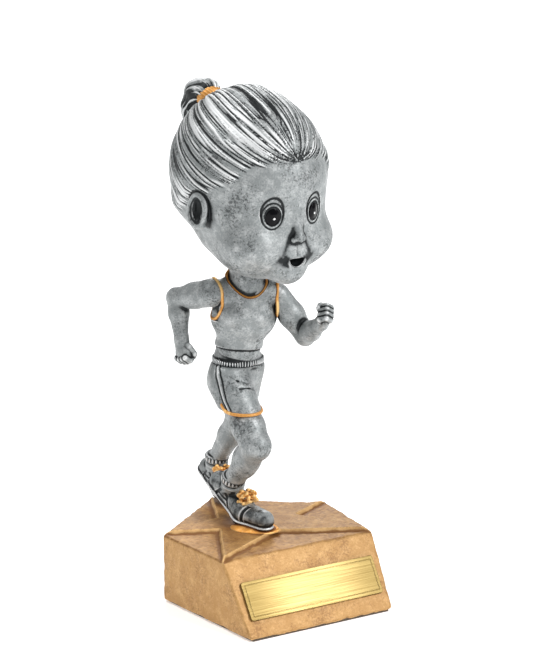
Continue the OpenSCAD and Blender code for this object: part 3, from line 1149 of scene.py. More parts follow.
stone = antique_paint(
    "stone gold",
    wash=(0.20, 0.075, 0.016),
    paint=(0.50, 0.27, 0.085),
    brush=(0.80, 0.50, 0.21),
    metallic=0.18,
    depth=0.85,
    amount=0.85,
    mottle=0.6,
    specks=0.55,
    bump_mm=0.08,
)

# %% Skin the castings
def everything_near(points):
    """Distance from all the castings below the head, which shade each other."""
    arms = np.minimum(right_arm(points), left_arm(points))
    return np.minimum(np.minimum(runner(points), base(points)), arms)


casting = sculpt(
    "base",
    base,
    base_low - 0.3,
    base_high + [0, 0, 0.6],
    cell=0.42,
    material=stone,
    around=everything_near,
    marks=base_marks,
)
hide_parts("base_casting")
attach(casting, "trophy")

low, high = box_mm("runner_casting")
runner_piece = sculpt(
    "runner",
    runner,
    low - 1.2,
    high + 1.2,
    cell=0.27,
    material=silver,
    around=everything_near,
    marks=runner_marks,
)
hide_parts("runner_casting")
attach(runner_piece, "trophy")

for name, shape in (("right_arm", right_arm), ("left_arm", left_arm)):
    low, high = box_mm(name)
    piece = sculpt(
        name + "_casting",
        shape,
        low - 1.5,
        high + 1.5,
        cell=0.22,
        material=silver,
        around=everything_near,
        marks=arm_marks,
    )
    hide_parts(name)
    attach(piece, "trophy")

# %% [markdown]
# ## The head
# The head is far too big for the body, as on every bobble-head. It is a plain doll's face: round
# open eyes, a button nose, full cheeks and a small open mouth. It is built in the head's own
# frame, with lengths from the middle of the cranium, and it has a round socket from below for the
# neck and the spring.

# %% The head's frame and skull
cap_low, cap_high = box_mm("spring_cap")
SOCKET_MIDDLE = (cap_low + cap_high) / 2
SOCKET_TOP = cap_high[2] + 0.05
SOCKET_RADIUS = 9.0
HEAD_MIDDLE = np.array([SOCKET_MIDDLE[0], 4.0, CHIN_Z + 30.4])


def in_head(points):
    return turned(points, HEAD_MIDDLE, HEAD_TURN)


def mirrored(q):
    """Both sides at once: the left half is folded onto the right."""
    return np.stack([np.abs(q[:, 0]), q[:, 1], q[:, 2]], -1)


def head_form(q):
    side = mirrored(q)
    crown = egg(q, (0, 0, 0), (21.2, 23.9, 23.2))
    under = egg(q, (0, 0, 0), (21.2, 23.9, 20.8))
    way = side / np.maximum(length(q), 1e-6)[:, None]
    form = (
        np.where(q[:, 2] > 0, crown, under)
        + 1.5 * steps(way @ np.array([0.35, -0.62, 0.7]), 0.62, 1.0)
    )
    form = melt(form, egg(q, (0, 4.4, -9.6), (18.2, 19.8, 11.4)), 3)
    form = melt(form, egg(q, (0, -8.0, -12.5), (17.0, 14.4, 12.0)), 5)
    form = melt(form, egg(q, (0, 1.6, -18.0), (14.2, 13.2, 9.4)), 4)
    form = melt(form, egg(q, (0, -7.6, -20.6), (15.2, 14.0, 9.6)), 3)
    form = melt(form, egg(side, (8.6, -12.4, -18.2), (9.2, 9.4, 8.0)), 2.6)
    form = melt(form, egg(q, (0, -17.4, -20.5), (6.4, 4.9, 6.6)), 2.4)
    return melt(form, egg(q, (0, -17.4, -25.8), (5.6, 4.4, 4.5)), 2.6)


# %% [markdown]
# ### Face
# Each eye is drawn in relief with ovals: a fold over the lid, the lid, its thin raised rim, and
# the eyeball that bulges inside it. The nose, lips and ears are small lumps melted on, and the
# mouth and the ear bowls are carved.

# %% Face
EYE_MIDDLE = np.array([7.0, 0, -8.7])
FOLD = (0.5, 3.05, 4.35)  # lift, half width, half height
RIM = (-0.45, 2.45, 3.15)
FACE_SHIFT = 0.6


def oval(side, lift, half_wide, half_high):
    """1 on an oval around the middle of the eye, less inside it."""
    return np.hypot(
        (side[:, 0] - EYE_MIDDLE[0]) / half_wide, (side[:, 2] - EYE_MIDDLE[2] - lift) / half_high
    )


def eye_sides(q):
    return mirrored(q + [FACE_SHIFT, 0, 0])


def ring_oval(q, centre, half, thickness):
    """An oval ring that faces forwards, for the lips."""
    away = q - np.asarray(centre)
    flat = np.hypot(away[:, 0] / half[0], away[:, 2] / half[1])
    return np.hypot((flat - 1) * min(half), away[:, 1] + 0.06 * away[:, 0] ** 2) - thickness


def nostrils(side):
    return egg(side, (0.95, -24.2, -17.3), (0.55, 0.9, 0.36))


def face(q):
    side = mirrored(q)
    form = head_form(q)
    front = steps(-q[:, 1], 11, 15)
    eyes = eye_sides(q)
    form = form + 0.5 * front * steps(-egg(eyes, (7.2, -22.6, -9.2), (4.6, 3.0, 5.4)), -2.2, 1.4)
    form = form - 0.3 * front * bell(eyes[:, 0], 7.4, 4.0) * bell(q[:, 2], -2.6, 1.5)
    fold, rim = oval(eyes, *FOLD), oval(eyes, *RIM)
    upper = steps(eyes[:, 2] - EYE_MIDDLE[2], -2.5, 0.5)
    form = (
        form + front * (0.4 * bell(fold, 1.0, 0.09) * upper - 0.06 * bell(fold, 0.88, 0.07) * upper)
    )
    form = (
        form
        + front
        * (0.22 * bell(rim, 1.2, 0.09) - 0.14 * bell(rim, 1.0, 0.09) + 0.25 * bell(rim, 0.84, 0.07))
    )
    form = form - front * 0.4 * steps(rim, 0.8, 0.1)
    bridge = bone(q, (0, -21.4, -8.4), (0, -22.9, -14.4), 1.5, 1.25)
    form = melt(form, bridge, 1.1)
    tip = egg(q, (0, -23.2, -15.8), (1.75, 1.6, 1.5))
    wing = egg(side, (1.6, -22.6, -16.3), (0.95, 1.1, 0.9))
    form = melt(form, melt(tip, wing, 0.4), 0.6)
    form = carve(form, nostrils(side), 0.2)
    groove = bone(q, (-0.1, -22.9, -18.2), (0, -22.7, -20.9), 0.0, 0.0)
    groove_sides = bone(side, (0.85, -22.9, -18.0), (1.1, -22.7, -20.9), 0, 0)
    form = form + 0.25 * bell(groove, 0, 0.45) - 0.14 * bell(groove_sides, 0, 0.4)
    smile = bone(side, (3.0, -22.0, -17.2), (4.7, -20.8, -21.6), 0, 0)
    form = form + 0.25 * bell(smile, 0, 0.8)
    form = form + 0.3 * bell(ball(side, (3.7, -21.6, -22.4), 0), 0, 0.7)
    form = melt(form, ring_oval(q, (0, -21.6, -22.9), (2.65, 1.5), 0.3), 0.5)
    form = carve(form, mouth(q), 0.2)
    return form + 0.25 * bell(ball(q, (0, -21.2, -25.6), 0), 0, 1.2)


def mouth(q):
    """An open smile: flat above, round below."""
    return keep(egg(q, (0, -22.2, -22.0), (2.6, 2.9, 2.3)), q[:, 2] + 21.9, 0.3)


# %% Ears
def ears(q):
    side = mirrored(q)
    lean = turned(side[:, [1, 2, 0]], (-3.2, -8.8, 0), 14)
    shell = egg(side, (19.7, -2.8, -8.8), (2.0, 3.7, 5.2))
    around = np.hypot(lean[:, 0] / 3.1, lean[:, 1] / 4.5)
    rim = np.hypot((around - 1) * 3.1, side[:, 0] - 20.9 - 0.12 * (side[:, 1] + 2.6)) - 0.72
    rim = np.maximum(rim, -(lean[:, 0] * 0.5 - lean[:, 1] * 0.2 + 2.4))
    inner = bone(side, (20.8, -1.9, -5.6), (20.6, -1.6, -9.4), 0.55, 0.5)
    tragus = egg(side, (20.2, -5.6, -10.2), (0.9, 0.7, 1.2))
    lobe = egg(side, (20.1, -4.0, -13.0), (1.2, 1.4, 1.4))
    shell = melt(carve(shell, ear_bowl(side), 0.4), rim, 0.35)
    return melt(melt(melt(shell, inner, 0.3), lobe, 0.6), tragus, 0.4)


def ear_bowl(side):
    return egg(side, (21.6, -3.7, -8.8), (2.0, 2.0, 3.5))


def socket_gap(points):
    radius = SOCKET_RADIUS - 0.7 * steps(points[:, 2], SOCKET_TOP - 15, SOCKET_TOP - 23)
    away = length((points - SOCKET_MIDDLE)[:, :2]) - radius
    return np.maximum(away, points[:, 2] - SOCKET_TOP)


# %% [markdown]
# ### Hair
# The hair is combed back from the forehead into a high tail. Seen on a globe, its strands are
# curves that start at one point over the forehead and end at another, the hair tie, like the
# field lines between two magnets. The globe is flattened on a plane from the side opposite the
# tie, where such curves are easy: they are lines of equal angle. That angle numbers the strands.
# Random waves across it, drawn out along the strand, make crests and grooves.

# %% Hair shape
TIE = np.array([0, 18.4, 16.9])
TIE_TILT = 50
POLE = unit(TIE)
ACROSS = unit(np.cross([1, 0, 0], POLE))
FRONT_POINT = unit([0, -23.2, 6.4])
FRONT_PULL = 0.45
HAIRLINE_TURN = [0, 30, 40, 50, 70, 90, 115, 180]
HAIRLINE_HEIGHT = [5.7, 4.9, 3.2, -0.4, -3.2, -5.2, -12.6, -18.0]
HAIR_THICK = 0.85
STRANDS = 74


def above_hairline(q):
    turn = np.degrees(np.arctan2(np.abs(q[:, 0]), -q[:, 1]))
    return q[:, 2] - np.interp(turn, HAIRLINE_TURN, HAIRLINE_HEIGHT)


def flat_map(way):
    """A direction on the globe as a point on the plane, with the tie at 0."""
    near = 1 + way @ POLE
    return (way @ np.array([1.0, 0, 0]) + 1j * (way @ ACROSS)) / np.maximum(near, 0.05)


FRONT_SPOT = flat_map(FRONT_POINT[None])[0]


def strand_relief(q):
    """Height of the strands from 0 to 1, and how far from the tie each point is, in radians."""
    way = q / np.maximum(length(q), 1e-6)[:, None]
    spot = flat_map(way)
    from_tie = 2 * np.arctan(np.abs(spot))
    turn = np.angle(spot) - FRONT_PULL * np.angle(1 - spot / FRONT_SPOT)
    wheel = STRANDS / (2 * math.pi)
    along = from_tie * 1.1

    def waves(rate, seed):
        place = np.stack([np.cos(turn) * wheel * rate, np.sin(turn) * wheel * rate, along], -1)
        return np.abs(lumps(place, 1, seed))

    crests = 1 - 1.7 * waves(1.0, 11)
    grooves = [
        np.clip(waves(rate, seed) * 2.6, 0, 1) ** 0.6 for rate, seed in ((1.5, 12), (3.0, 13))
    ]
    relief = 0.34 * crests + 0.42 * grooves[0] + 0.24 * grooves[1]
    return np.clip(relief, 0, 1), from_tie


def hair_lift(q):
    """How far the hair stands over the skull, and the strands' relief and strength."""
    relief, from_tie = strand_relief(q)
    side = mirrored(q)
    above = above_hairline(q) + 2.4 * (relief - 0.6)
    clear = steps(egg(side, (20.6, -3.4, -8.8), (3.0, 4.4, 5.6)), -0.5, 0.9)
    near_front = length(q / np.maximum(length(q), 1e-6)[:, None] - FRONT_POINT)
    strength = (
        steps(above, -0.6, 3.4) * steps(from_tie, 0.1, 0.3) * clear * steps(near_front, 0.06, 0.36)
    )
    lift = HAIR_THICK * steps(above, -0.5, 4.0) * clear + (relief - 0.65) * 0.8 * strength
    return lift, relief, strength


def head(points):
    q = in_head(points)
    whole = face(q) - hair_lift(q)[0]
    whole = melt(whole, ears(q), 0.5)
    return np.maximum(whole, -socket_gap(points))


def head_marks(points):
    """Dark between the strands and in the face's folds, with painted shade beside the nose and
    mouth; rubbed bright on crests and cheeks, with a painted highlight on cheeks and forehead.
    """
    q = in_head(points)
    _, relief, strength = hair_lift(q)
    darkening = strength * 0.7 * steps(relief, 0.52, 0.2)
    brighter = strength * 0.55 * steps(relief, 0.66, 0.95)
    eyes, side = eye_sides(q), mirrored(q)
    front = steps(-q[:, 1], 11, 15)
    fold, rim = oval(eyes, *FOLD), oval(eyes, *RIM)
    upper = steps(eyes[:, 2] - EYE_MIDDLE[2], -3.2, 0.5)
    lid_lines = 0.55 * bell(fold, 1.0, 0.08) * upper + 0.4 * bell(rim, 1.18, 0.07)
    darkening += front * (lid_lines + 0.8 * steps(rim, 0.95, 0.85))
    brighter -= front * (0.4 * bell(rim, 1.0, 0.12) + 0.45 * bell(fold, 0.88, 0.1) * upper)
    darkening += (
        0.8 * steps(mouth(q), 0.35, 0.1)
        + 0.5 * steps(ear_bowl(side), 0.8, 0.1) * steps(side[:, 0], 16, 18)
    )
    darkening += 0.6 * steps(nostrils(side), 0.45, 0.1) * front
    # Painted shade beside the nose and at the corners of the mouth, broken up a little.
    painted_face_shade = (
        bell(ball(q, (0.3, -22, -14.0), 0), 0, 2.6)
        + 1.2 * bell(ball(side, (4.6, -21, -21.6), 0), 0, 2.0)
    )
    darkening += 0.42 * painted_face_shade * (0.6 + 0.6 * lumps(points, 0.9, 21))
    lips = np.abs(mouth(q) - 0.55)
    brighter -= (
        0.15 * bell(lips, 0, 0.3) * front + 0.5 * bell(ball(side, (1.2, -23.4, -16.4), 0), 0, 1.5)
    )
    # Partly dry brush on the high cheeks, partly a painted highlight on the cheeks and the middle
    # of the forehead.
    painted_face_highlight = (
        bell(ball(side, (9.5, -20.5, -16.5), 0), 0, 3.6)
        + 0.6 * bell(ball(q, (0, -23.0, -1.0), 0), 0, 5.0)
    )
    brighter += 0.3 * painted_face_highlight
    return darkening, brighter


# %% Ponytail and hair tie
TAIL_SPOTS = [(18.2, 16.6), (20.8, 19.0), (24.2, 18.4), (26.8, 14.0), (27.2, 8.4), (26.2, 3.8)]
TAIL_RADII = [2.3, 3.7, 4.2, 3.9, 3.0, 1.3]
TAIL_MIDDLE = np.array([0, 20.5, 9.0])


def tail_relief(q):
    away = q - TAIL_MIDDLE
    turn = np.arctan2(away[:, 2], away[:, 1])
    around_tail = np.arctan2(q[:, 0], length(away[:, 1:]) - 8.0) + 0.12 * np.sin(turn * 3)
    wheel = 2.6

    def waves(rate, seed):
        place = np.stack(
            [np.cos(around_tail) * wheel * rate, np.sin(around_tail) * wheel * rate, turn * 1.3], -1
        )
        return 1 - np.abs(lumps(place, 1, seed)) * 1.8

    return np.clip(0.62 * waves(1.0, 31) + 0.38 * waves(2.3, 32), 0, 1)


def ponytail(points):
    q = in_head(points)
    tail = chain(q, [np.array([0, y, z]) for y, z in TAIL_SPOTS], TAIL_RADII, 1.6)
    return tail - 0.8 * (tail_relief(q) - 0.6)


def tail_marks(points):
    relief = tail_relief(in_head(points))
    return 0.75 * steps(relief, 0.55, 0.25), 0.8 * steps(relief, 0.55, 0.9)


def hair_tie(points):
    q = in_head(points)
    lean = math.radians(TIE_TILT)
    axis = np.array([0, math.sin(lean), math.cos(lean)])
    away = q - TIE - axis * 1.6
    along = away @ axis
    out = away - along[:, None] * axis
    turn = np.arctan2(out @ np.cross(axis, [1.0, 0, 0]), out[:, 0])
    band = np.hypot(length(out) - 2.9, along * 0.62) - 1.0
    return band + 0.12 * np.abs(np.sin(turn * 13 + along * 1.5)) - 0.05


# %% [markdown]
# ### Eyes
# The pupils are thick drops of gloss black on the eyeballs, each with a dot of white for the
# catchlight.

# %% Eye shapes
PUPIL_HALF = (1.95, 2.5)


def drop_on_face(q, outline, soft, thick, deep):
    """A drop of paint inside an outline, from a little under the face to a little over it."""
    surface = face(q)
    drop = keep(surface - thick, outline, soft)
    drop = np.maximum(drop, -(surface + deep))
    return np.maximum(drop, q[:, 1] + 12)


def pupils(points):
    q = in_head(points)
    side = eye_sides(q)
    across, up = side[:, 0] - EYE_MIDDLE[0] + 0.1, side[:, 2] - EYE_MIDDLE[2] + 0.75
    flat = np.hypot(across / PUPIL_HALF[0], up / PUPIL_HALF[1])
    return drop_on_face(q, (flat - 1) * PUPIL_HALF[0], 0.2, thick=0.16, deep=0.5)


def catchlights(points):
    q = in_head(points)
    side = eye_sides(q)
    flat = np.hypot(side[:, 0] - EYE_MIDDLE[0] + 0.1, side[:, 2] - EYE_MIDDLE[2] + 1.1) - 0.34
    return drop_on_face(q, flat, 0.08, thick=0.26, deep=0.05)


# %% Cast the head
gloss_black, _, black_shader = new_material("eye black", (0.002, 0.002, 0.003, 1), 0, 0.12)
black_shader.inputs["Specular IOR Level"].default_value = 0.15
eye_white, _, _ = new_material("eye white", (0.9, 0.9, 0.9, 1), 0, 0.3)

head_low, head_high = box_mm("head_casting")
head_piece = sculpt(
    "head",
    head,
    head_low - 2.5,
    head_high + 2.5,
    cell=0.3,
    material=silver,
    around=head,
    marks=head_marks,
)
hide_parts("head_casting")
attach(head_piece, "head")
for name, shape, cell, material, marks in (
    ("ponytail", ponytail, 0.24, silver, tail_marks),
    ("hair_tie", hair_tie, 0.2, gold_trim, None),
):
    low, high = box_mm(name)
    piece = sculpt(name + "_piece", shape, low - 1.5, high + 1.5, cell, material, marks=marks)
    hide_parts(name)
    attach(piece, "head")
eye_low, eye_high = head_low + [6, -1, 14], head_low + [38, 12, 28]
for name, shape, material in (
    ("pupils", pupils, gloss_black), ("catchlights", catchlights, eye_white)
):
    piece = sculpt(name, shape, eye_low, eye_high, cell=0.14, material=material)
    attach(piece, "head")

# %% [markdown]
# ## Gold piping, with Geometry Nodes
# The vest's neck and armholes and the hem of the shorts are edged with a thin round piping,
# picked out in gold. It is a tube that follows a path, so a small Geometry Nodes tree makes it: a
# circle is swept along a curve. Each path starts as a plain loop round an opening, and every
# point of it is then moved straight onto the cloth or skin.

# %% Trees that sweep and repeat
def new_tree(name, inputs):
    tree = bpy.data.node_groups.new(name, "GeometryNodeTree")
    tree.interface.new_socket(name="Geometry", in_out="INPUT", socket_type="NodeSocketGeometry")
    for label, kind in inputs + [("Material", "NodeSocketMaterial")]:
        tree.interface.new_socket(name=label, in_out="INPUT", socket_type=kind)
    tree.interface.new_socket(name="Geometry", in_out="OUTPUT", socket_type="NodeSocketGeometry")
    return tree, tree.nodes.new("NodeGroupInput"), tree.nodes.new("NodeGroupOutput")


def end_tree(tree, given, result, shape):
    real = tree.nodes.new("GeometryNodeRealizeInstances")
    paint = tree.nodes.new("GeometryNodeSetMaterial")
    wire(tree, shape, real.inputs["Geometry"])
    wire(tree, real.outputs["Geometry"], paint.inputs["Geometry"])
    wire(tree, given.outputs["Material"], paint.inputs["Material"])
    wire(tree, paint.outputs["Geometry"], result.inputs["Geometry"])
    return tree


def make_tube_tree():
    tree, given, result = new_tree(
        "tube along a path", [("Radius", "NodeSocketFloat"), ("Sides", "NodeSocketInt")]
    )
    circle = tree.nodes.new("GeometryNodeCurvePrimitiveCircle")
    sweep = tree.nodes.new("GeometryNodeCurveToMesh")
    wire(tree, given.outputs["Sides"], circle.inputs["Resolution"])
    wire(tree, given.outputs["Radius"], circle.inputs["Radius"])
    wire(tree, given.outputs["Geometry"], sweep.inputs["Curve"])
    wire(tree, circle.outputs["Curve"], sweep.inputs["Profile Curve"])
    sweep.inputs["Fill Caps"].default_value = True
    return end_tree(tree, given, result, sweep.outputs["Mesh"])


def make_rib_tree():
    """An egg on every point, lying along one stored direction and standing along another."""
    tree, given, result = new_tree("ribs on points", [("Half size", "NodeSocketVector")])
    egg_shape = tree.nodes.new("GeometryNodeMeshUVSphere")
    egg_shape.inputs["Segments"].default_value = 10
    egg_shape.inputs["Rings"].default_value = 8
    egg_shape.inputs["Radius"].default_value = 1
    aim = tree.nodes.new("FunctionNodeAxesToRotation")
    aim.primary_axis, aim.secondary_axis = "Z", "X"
    for label, socket in (("along", 0), ("out", 1)):
        named = tree.nodes.new("GeometryNodeInputNamedAttribute")
        named.data_type = "FLOAT_VECTOR"
        named.inputs["Name"].default_value = label
        wire(tree, named.outputs["Attribute"], aim.inputs[socket])
    place = tree.nodes.new("GeometryNodeInstanceOnPoints")
    wire(tree, given.outputs["Geometry"], place.inputs["Points"])
    wire(tree, egg_shape.outputs["Mesh"], place.inputs["Instance"])
    wire(tree, aim.outputs["Rotation"], place.inputs["Rotation"])
    wire(tree, given.outputs["Half size"], place.inputs["Scale"])
    return end_tree(tree, given, result, place.outputs["Instances"])


tube_tree, rib_tree = make_tube_tree(), make_rib_tree()


# %% Run a tree and keep a plain mesh
def grow(name, source, tree, values):
    modifier = source.modifiers.new(tree.name, "NODES")
    modifier.node_group = tree
    for item in tree.interface.items_tree:
        if item.in_out == "INPUT" and item.name in values:
            modifier[item.identifier] = values[item.name]
    graph = bpy.context.evaluated_depsgraph_get()
    mesh = bpy.data.meshes.new_from_object(source.evaluated_get(graph))
    source.modifiers.clear()
    bpy.data.objects.remove(source)
    mesh.polygons.foreach_set("use_smooth", np.ones(len(mesh.polygons), bool))
    mesh.name = name
    piece = bpy.data.objects.new(name, mesh)
    bpy.context.collection.objects.link(piece)
    print(f"{name}: {len(mesh.polygons)} faces")
    return piece


def path_object(points, closed):
    curve = bpy.data.curves.new("path", "CURVE")
    curve.dimensions = "3D"
    spline = curve.splines.new("POLY")
    spline.points.add(len(points) - 1)
    spline.points.foreach_set(
        "co", np.column_stack([np.asarray(points) * MM, np.ones(len(points))]).ravel()
    )
    spline.use_cyclic_u = closed
    holder = bpy.data.objects.new("path", curve)
    bpy.context.collection.objects.link(holder)
    return holder


def tube(name, points, radius, material, closed=False, sides=12):
    values = {"Radius": radius * MM, "Sides": sides, "Material": material}
    return grow(name, path_object(points, closed), tube_tree, values)


def ribs(name, points, along, out, half_size, material):
    mesh = bpy.data.meshes.new("rib spots")
    mesh.from_pydata([tuple(p * MM) for p in points], [], [])
    for label, ways in (("along", along), ("out", out)):
        mesh.attributes.new(label, "FLOAT_VECTOR", "POINT").data.foreach_set(
            "vector", np.asarray(ways, float).ravel()
        )
    holder = bpy.data.objects.new("rib spots", mesh)
    bpy.context.collection.objects.link(holder)
    return grow(
        name, holder, rib_tree, {"Half size": [h * MM for h in half_size], "Material": material}
    )


def wear_trim(piece, ground, height):
    """Dark where a trim meets the ground it lies on, bright where it stands highest."""
    points = np.zeros(len(piece.data.vertices) * 3, np.float32)
    piece.data.vertices.foreach_get("co", points)
    share = ground(points.reshape(-1, 3) / MM) / height
    store(piece.data, "wash_and_shade", np.clip(0.55 - 1.3 * share, 0, 1))
    store(piece.data, "rub_and_highlight", np.clip(1.2 * share - 0.35, 0, 1))


# %% Paths laid on the figure
def onto(points, ground, rounds=14, longest_step=0.8):
    """Moves points straight to the ground, along the ground's own slope."""
    points = np.asarray(points, float)
    for _ in range(rounds):
        gap, out, _ = slope(ground, points)
        points = points - np.clip(gap, -longest_step, longest_step)[:, None] * out
    return points


def smooth_path(points, closed, rounds=3):
    for _ in range(rounds):
        before, after = np.roll(points, 1, axis=0), np.roll(points, -1, axis=0)
        middle = points * 0.5 + (before + after) * 0.25
        if not closed:
            middle[0], middle[-1] = points[0], points[-1]
        points = middle
    return points


def from_frame(local, origin, twist):
    c, s = math.cos(math.radians(twist)), math.sin(math.radians(twist))
    x, y, z = np.moveaxis(np.asarray(local, float), -1, 0)
    return np.stack([x * c - y * s, x * s + y * c, z], -1) + origin


def clothed(points):
    arms = np.minimum(right_arm(points), left_arm(points))
    return np.minimum(np.minimum(skin(points), vest_shape(points)), arms)


def neck_loop(turn):
    x, y = 5.3 * np.sin(turn), -0.6 - 4.6 * np.cos(turn)
    return from_frame(np.stack([x, y, neck_height(x, y)], -1), chest, CHEST_TWIST)


def armhole_loop(turn, side):
    y, z = -0.4 - 4.3 * np.cos(turn), 5.6 + 6.0 * np.sin(turn)
    out, less = ARMHOLE[side]
    return from_frame(np.stack([side * (out - less * y**2), y, z], -1), chest, CHEST_TWIST)


def hem_loop(turn):
    x, y = right_thigh[0] + 8.0 * np.sin(turn), right_thigh[1] - 8.0 * np.cos(turn)
    return np.stack([x, y, np.full(len(turn), RIGHT_HEM_Z + 0.5)], -1)


# %% Lay the piping
PIPING = 0.5
round_turns = np.linspace(0, 2 * math.pi, 96, endpoint=False)
right_thigh = (
    right_hip
    + (right_knee - right_hip) * ((right_hip[2] - RIGHT_HEM_Z) / (right_hip[2] - right_knee[2]))
)
hem_path = onto(hem_loop(np.linspace(math.radians(-85), math.radians(150), 70)), shorts_shape)
lift_to_welt = np.stack([hem_path[0] + [-0.1, 0.5 * k, 0.55 * k] for k in (3, 2, 1)])
piping = {
    "collar_piping": (onto(neck_loop(round_turns), clothed), True),
    "right_armhole_piping": (onto(armhole_loop(round_turns, -1), clothed), True),
    "left_armhole_piping": (onto(armhole_loop(round_turns, 1), clothed), True),
    "hem_piping": (np.concatenate([lift_to_welt, hem_path]), False),
}
for name, (path, closed) in piping.items():
    print(name, "spans", np.ptp(path, axis=0).round(1))
    piece = tube(name, smooth_path(path, closed), PIPING, gold_trim, closed)
    wear_trim(piece, runner, PIPING * 1.6)
    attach(piece, "trophy")

# %% [markdown]
# ## Gathers and sock ribs
# Elastic pulls the waistband and the sock tops into small upright ribs. One egg is placed on each
# of a ring of points by a second tree. Each point stores which way its rib runs and which way is
# outwards.

# %% Gather the waistband and the socks
def waist_loop(turn):
    x, y = 9.5 * np.sin(turn), -0.8 - 8.5 * np.cos(turn)
    z = (BAND_LOW + BAND_HIGH) / 2 - BAND_TILT * x
    return from_frame(np.stack([x, y, z], -1), pelvis, HIP_TWIST)


GATHERS = 54
spots = onto(waist_loop(np.linspace(0, 2 * math.pi, GATHERS, endpoint=False)), shorts_shape)
out = spots - spots.mean(0)
out[:, 2] = 0
out /= length(out)[:, None]
upright = np.tile([0, 0, 1.0], (GATHERS, 1))
waist_ribs = ribs("waist_gathers", spots, upright, out, (0.34, 0.25, 0.95), silver)
wear_trim(waist_ribs, shorts_shape, 0.34)
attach(waist_ribs, "trophy")

SOCK_RIBS = 20
for name, ankle, shoe in (
    ("front_sock_ribs", right_ankle, front_shoe), ("rear_sock_ribs", left_ankle, rear_shoe)
):
    axis = ankle_axis(ankle, shoe)
    side = unit(np.cross(axis, [0.3, 1, 0]))
    turns = np.linspace(0, 2 * math.pi, SOCK_RIBS, endpoint=False)
    out = np.cos(turns)[:, None] * side + np.sin(turns)[:, None] * np.cross(axis, side)
    spots = ankle + axis * 0.9 + out * (SOCK_RADIUS - 0.1)
    piece = ribs(name, spots, np.tile(axis, (SOCK_RIBS, 1)), out, (0.42, 0.36, 1.0), silver)
    wear_trim(piece, runner, 0.4)
    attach(piece, "trophy")

# %% [markdown]
# ## Laces and the toe's fillet
# Each shoe is tied with a fat bow, sculpted as one lump of loops and picked out in gold. The
# front toe stands in a puddle of epoxy that fixes it to the star, also painted gold.

# %% Laces
def bow(points, knot, forward):
    side = np.array([forward[1], -forward[0], 0])
    up = np.array([0, 0, 1.0])
    whole = egg_in(points, knot, (side, forward, up), (1.15, 1.05, 1.0))
    for s in (-1, 1):
        tip = knot + side * s * 2.2 + up * 0.1 - forward * 0.2
        for lean in (0.6, -0.6):
            rise = knot + side * s * 1.3 + forward * lean * 1.7 + up * 0.8
            loop = [knot, rise, tip + forward * lean * 1.3, tip - up * 0.6]
            whole = melt(whole, chain(points, loop, [0.6, 0.72, 0.75, 0.6], 0.2), 0.15)
        middle = knot + side * s * 1.0 + forward * 1.7 - up * 0.2
        loose_end = [knot, middle, knot + side * s * 1.6 + forward * 2.5 - up * 1.3]
        whole = melt(whole, chain(points, loose_end, [0.65, 0.6, 0.5], 0.2), 0.15)
    for k in (-1, 0, 1):
        row = knot - up * (0.8 + 0.3 * abs(k)) - forward * (1.2 * k + 0.2)
        lace = bone(points, row - side * 2.3 - up * 0.9, row + side * 2.3 - up * 0.9, 0.5, 0.5)
        whole = melt(whole, lace, 0.2)
    return whole + 0.15 * lumps(points, 0.7, 41)


for name, shoe, ahead, shift in (
    ("front_laces", front_shoe, 3.8, [0, 0, 0.3]),
    ("rear_laces", rear_shoe, 2.2, [-1.0, 0, 1.2]),
):
    knot = instep(shoe) + shoe.forward * ahead + shift
    print(name, "at", knot.round(1))

    def laces(points, knot=knot, forward=shoe.forward):
        return bow(points, knot, forward)

    piece = sculpt(
        name, laces, knot - 4.8, knot + 4.8, cell=0.18, material=gold_trim, around=everything_near
    )
    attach(piece, "trophy")

# %% Toe fillet
fillet_low, fillet_high = box_mm("toe_fillet")
PUDDLE_MIDDLE, PUDDLE_TURN = (-4.6, -0.4), -38
PUDDLE_HALF = (7.4, 5.2, 1.9)


def puddle(points):
    middle = np.array([*PUDDLE_MIDDLE, fillet_low[2]])
    q = turned(points, middle, PUDDLE_TURN)
    spread = egg(q, (0, 0, 0), PUDDLE_HALF) + 0.25 * lumps(points, 2.2, 51)
    return np.maximum(spread, fillet_low[2] - 0.3 - points[:, 2])


shine = antique_paint(
    "bright gold",
    wash=(0.22, 0.07, 0.01),
    paint=(0.80, 0.36, 0.07),
    brush=(1.0, 0.72, 0.32),
    metallic=0.6,
    mottle=0.5,
    specks=0.15,
)
fillet = sculpt(
    "toe_fillet_piece",
    puddle,
    fillet_low - 2.4,
    fillet_high + 2.4,
    cell=0.22,
    material=shine,
    around=everything_near,
)
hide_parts("toe_fillet")
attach(fillet, "trophy")

# %% [markdown]
# ## The nameplate
# The plate is a thin sheet of brushed brass, sheared with slightly rounded corners and edges, and
# left blank with a fine scribed border. The brushing runs along it, and its colour is painted
# lighter in the middle and darker towards its ends: a painted reflection of light that falls off.

# %% Plate shape and brass
plate_low, plate_high = box_mm("nameplate")
PLATE_UP = unit([0, FRONT_EDGE - FRONT_FOOT, BASE_TOP])
PLATE_OUT = unit([0, -BASE_TOP, FRONT_EDGE - FRONT_FOOT])
PLATE_THICK = 0.6


def plate_frame():
    """Middle of the plate's back, and half its width and height."""
    middle = (plate_low + plate_high) / 2
    half_high = (plate_high[2] - plate_low[2] - PLATE_THICK * PLATE_OUT[2]) / PLATE_UP[2] / 2
    return middle - PLATE_OUT * PLATE_THICK / 2, plate_high[0], half_high


PLATE_BACK, PLATE_HALF_WIDE, PLATE_HALF_HIGH = plate_frame()


def rounded_outline(half_wide, half_high, corner, steps_round=6):
    points = []
    for k, (sx, sy) in enumerate(((1, 1), (-1, 1), (-1, -1), (1, -1))):
        for turn in np.linspace(0, math.pi / 2, steps_round):
            angle = k * math.pi / 2 + turn
            x = sx * (half_wide - corner) + corner * math.cos(angle)
            y = sy * (half_high - corner) + corner * math.sin(angle)
            points.append((x, y))
    return points


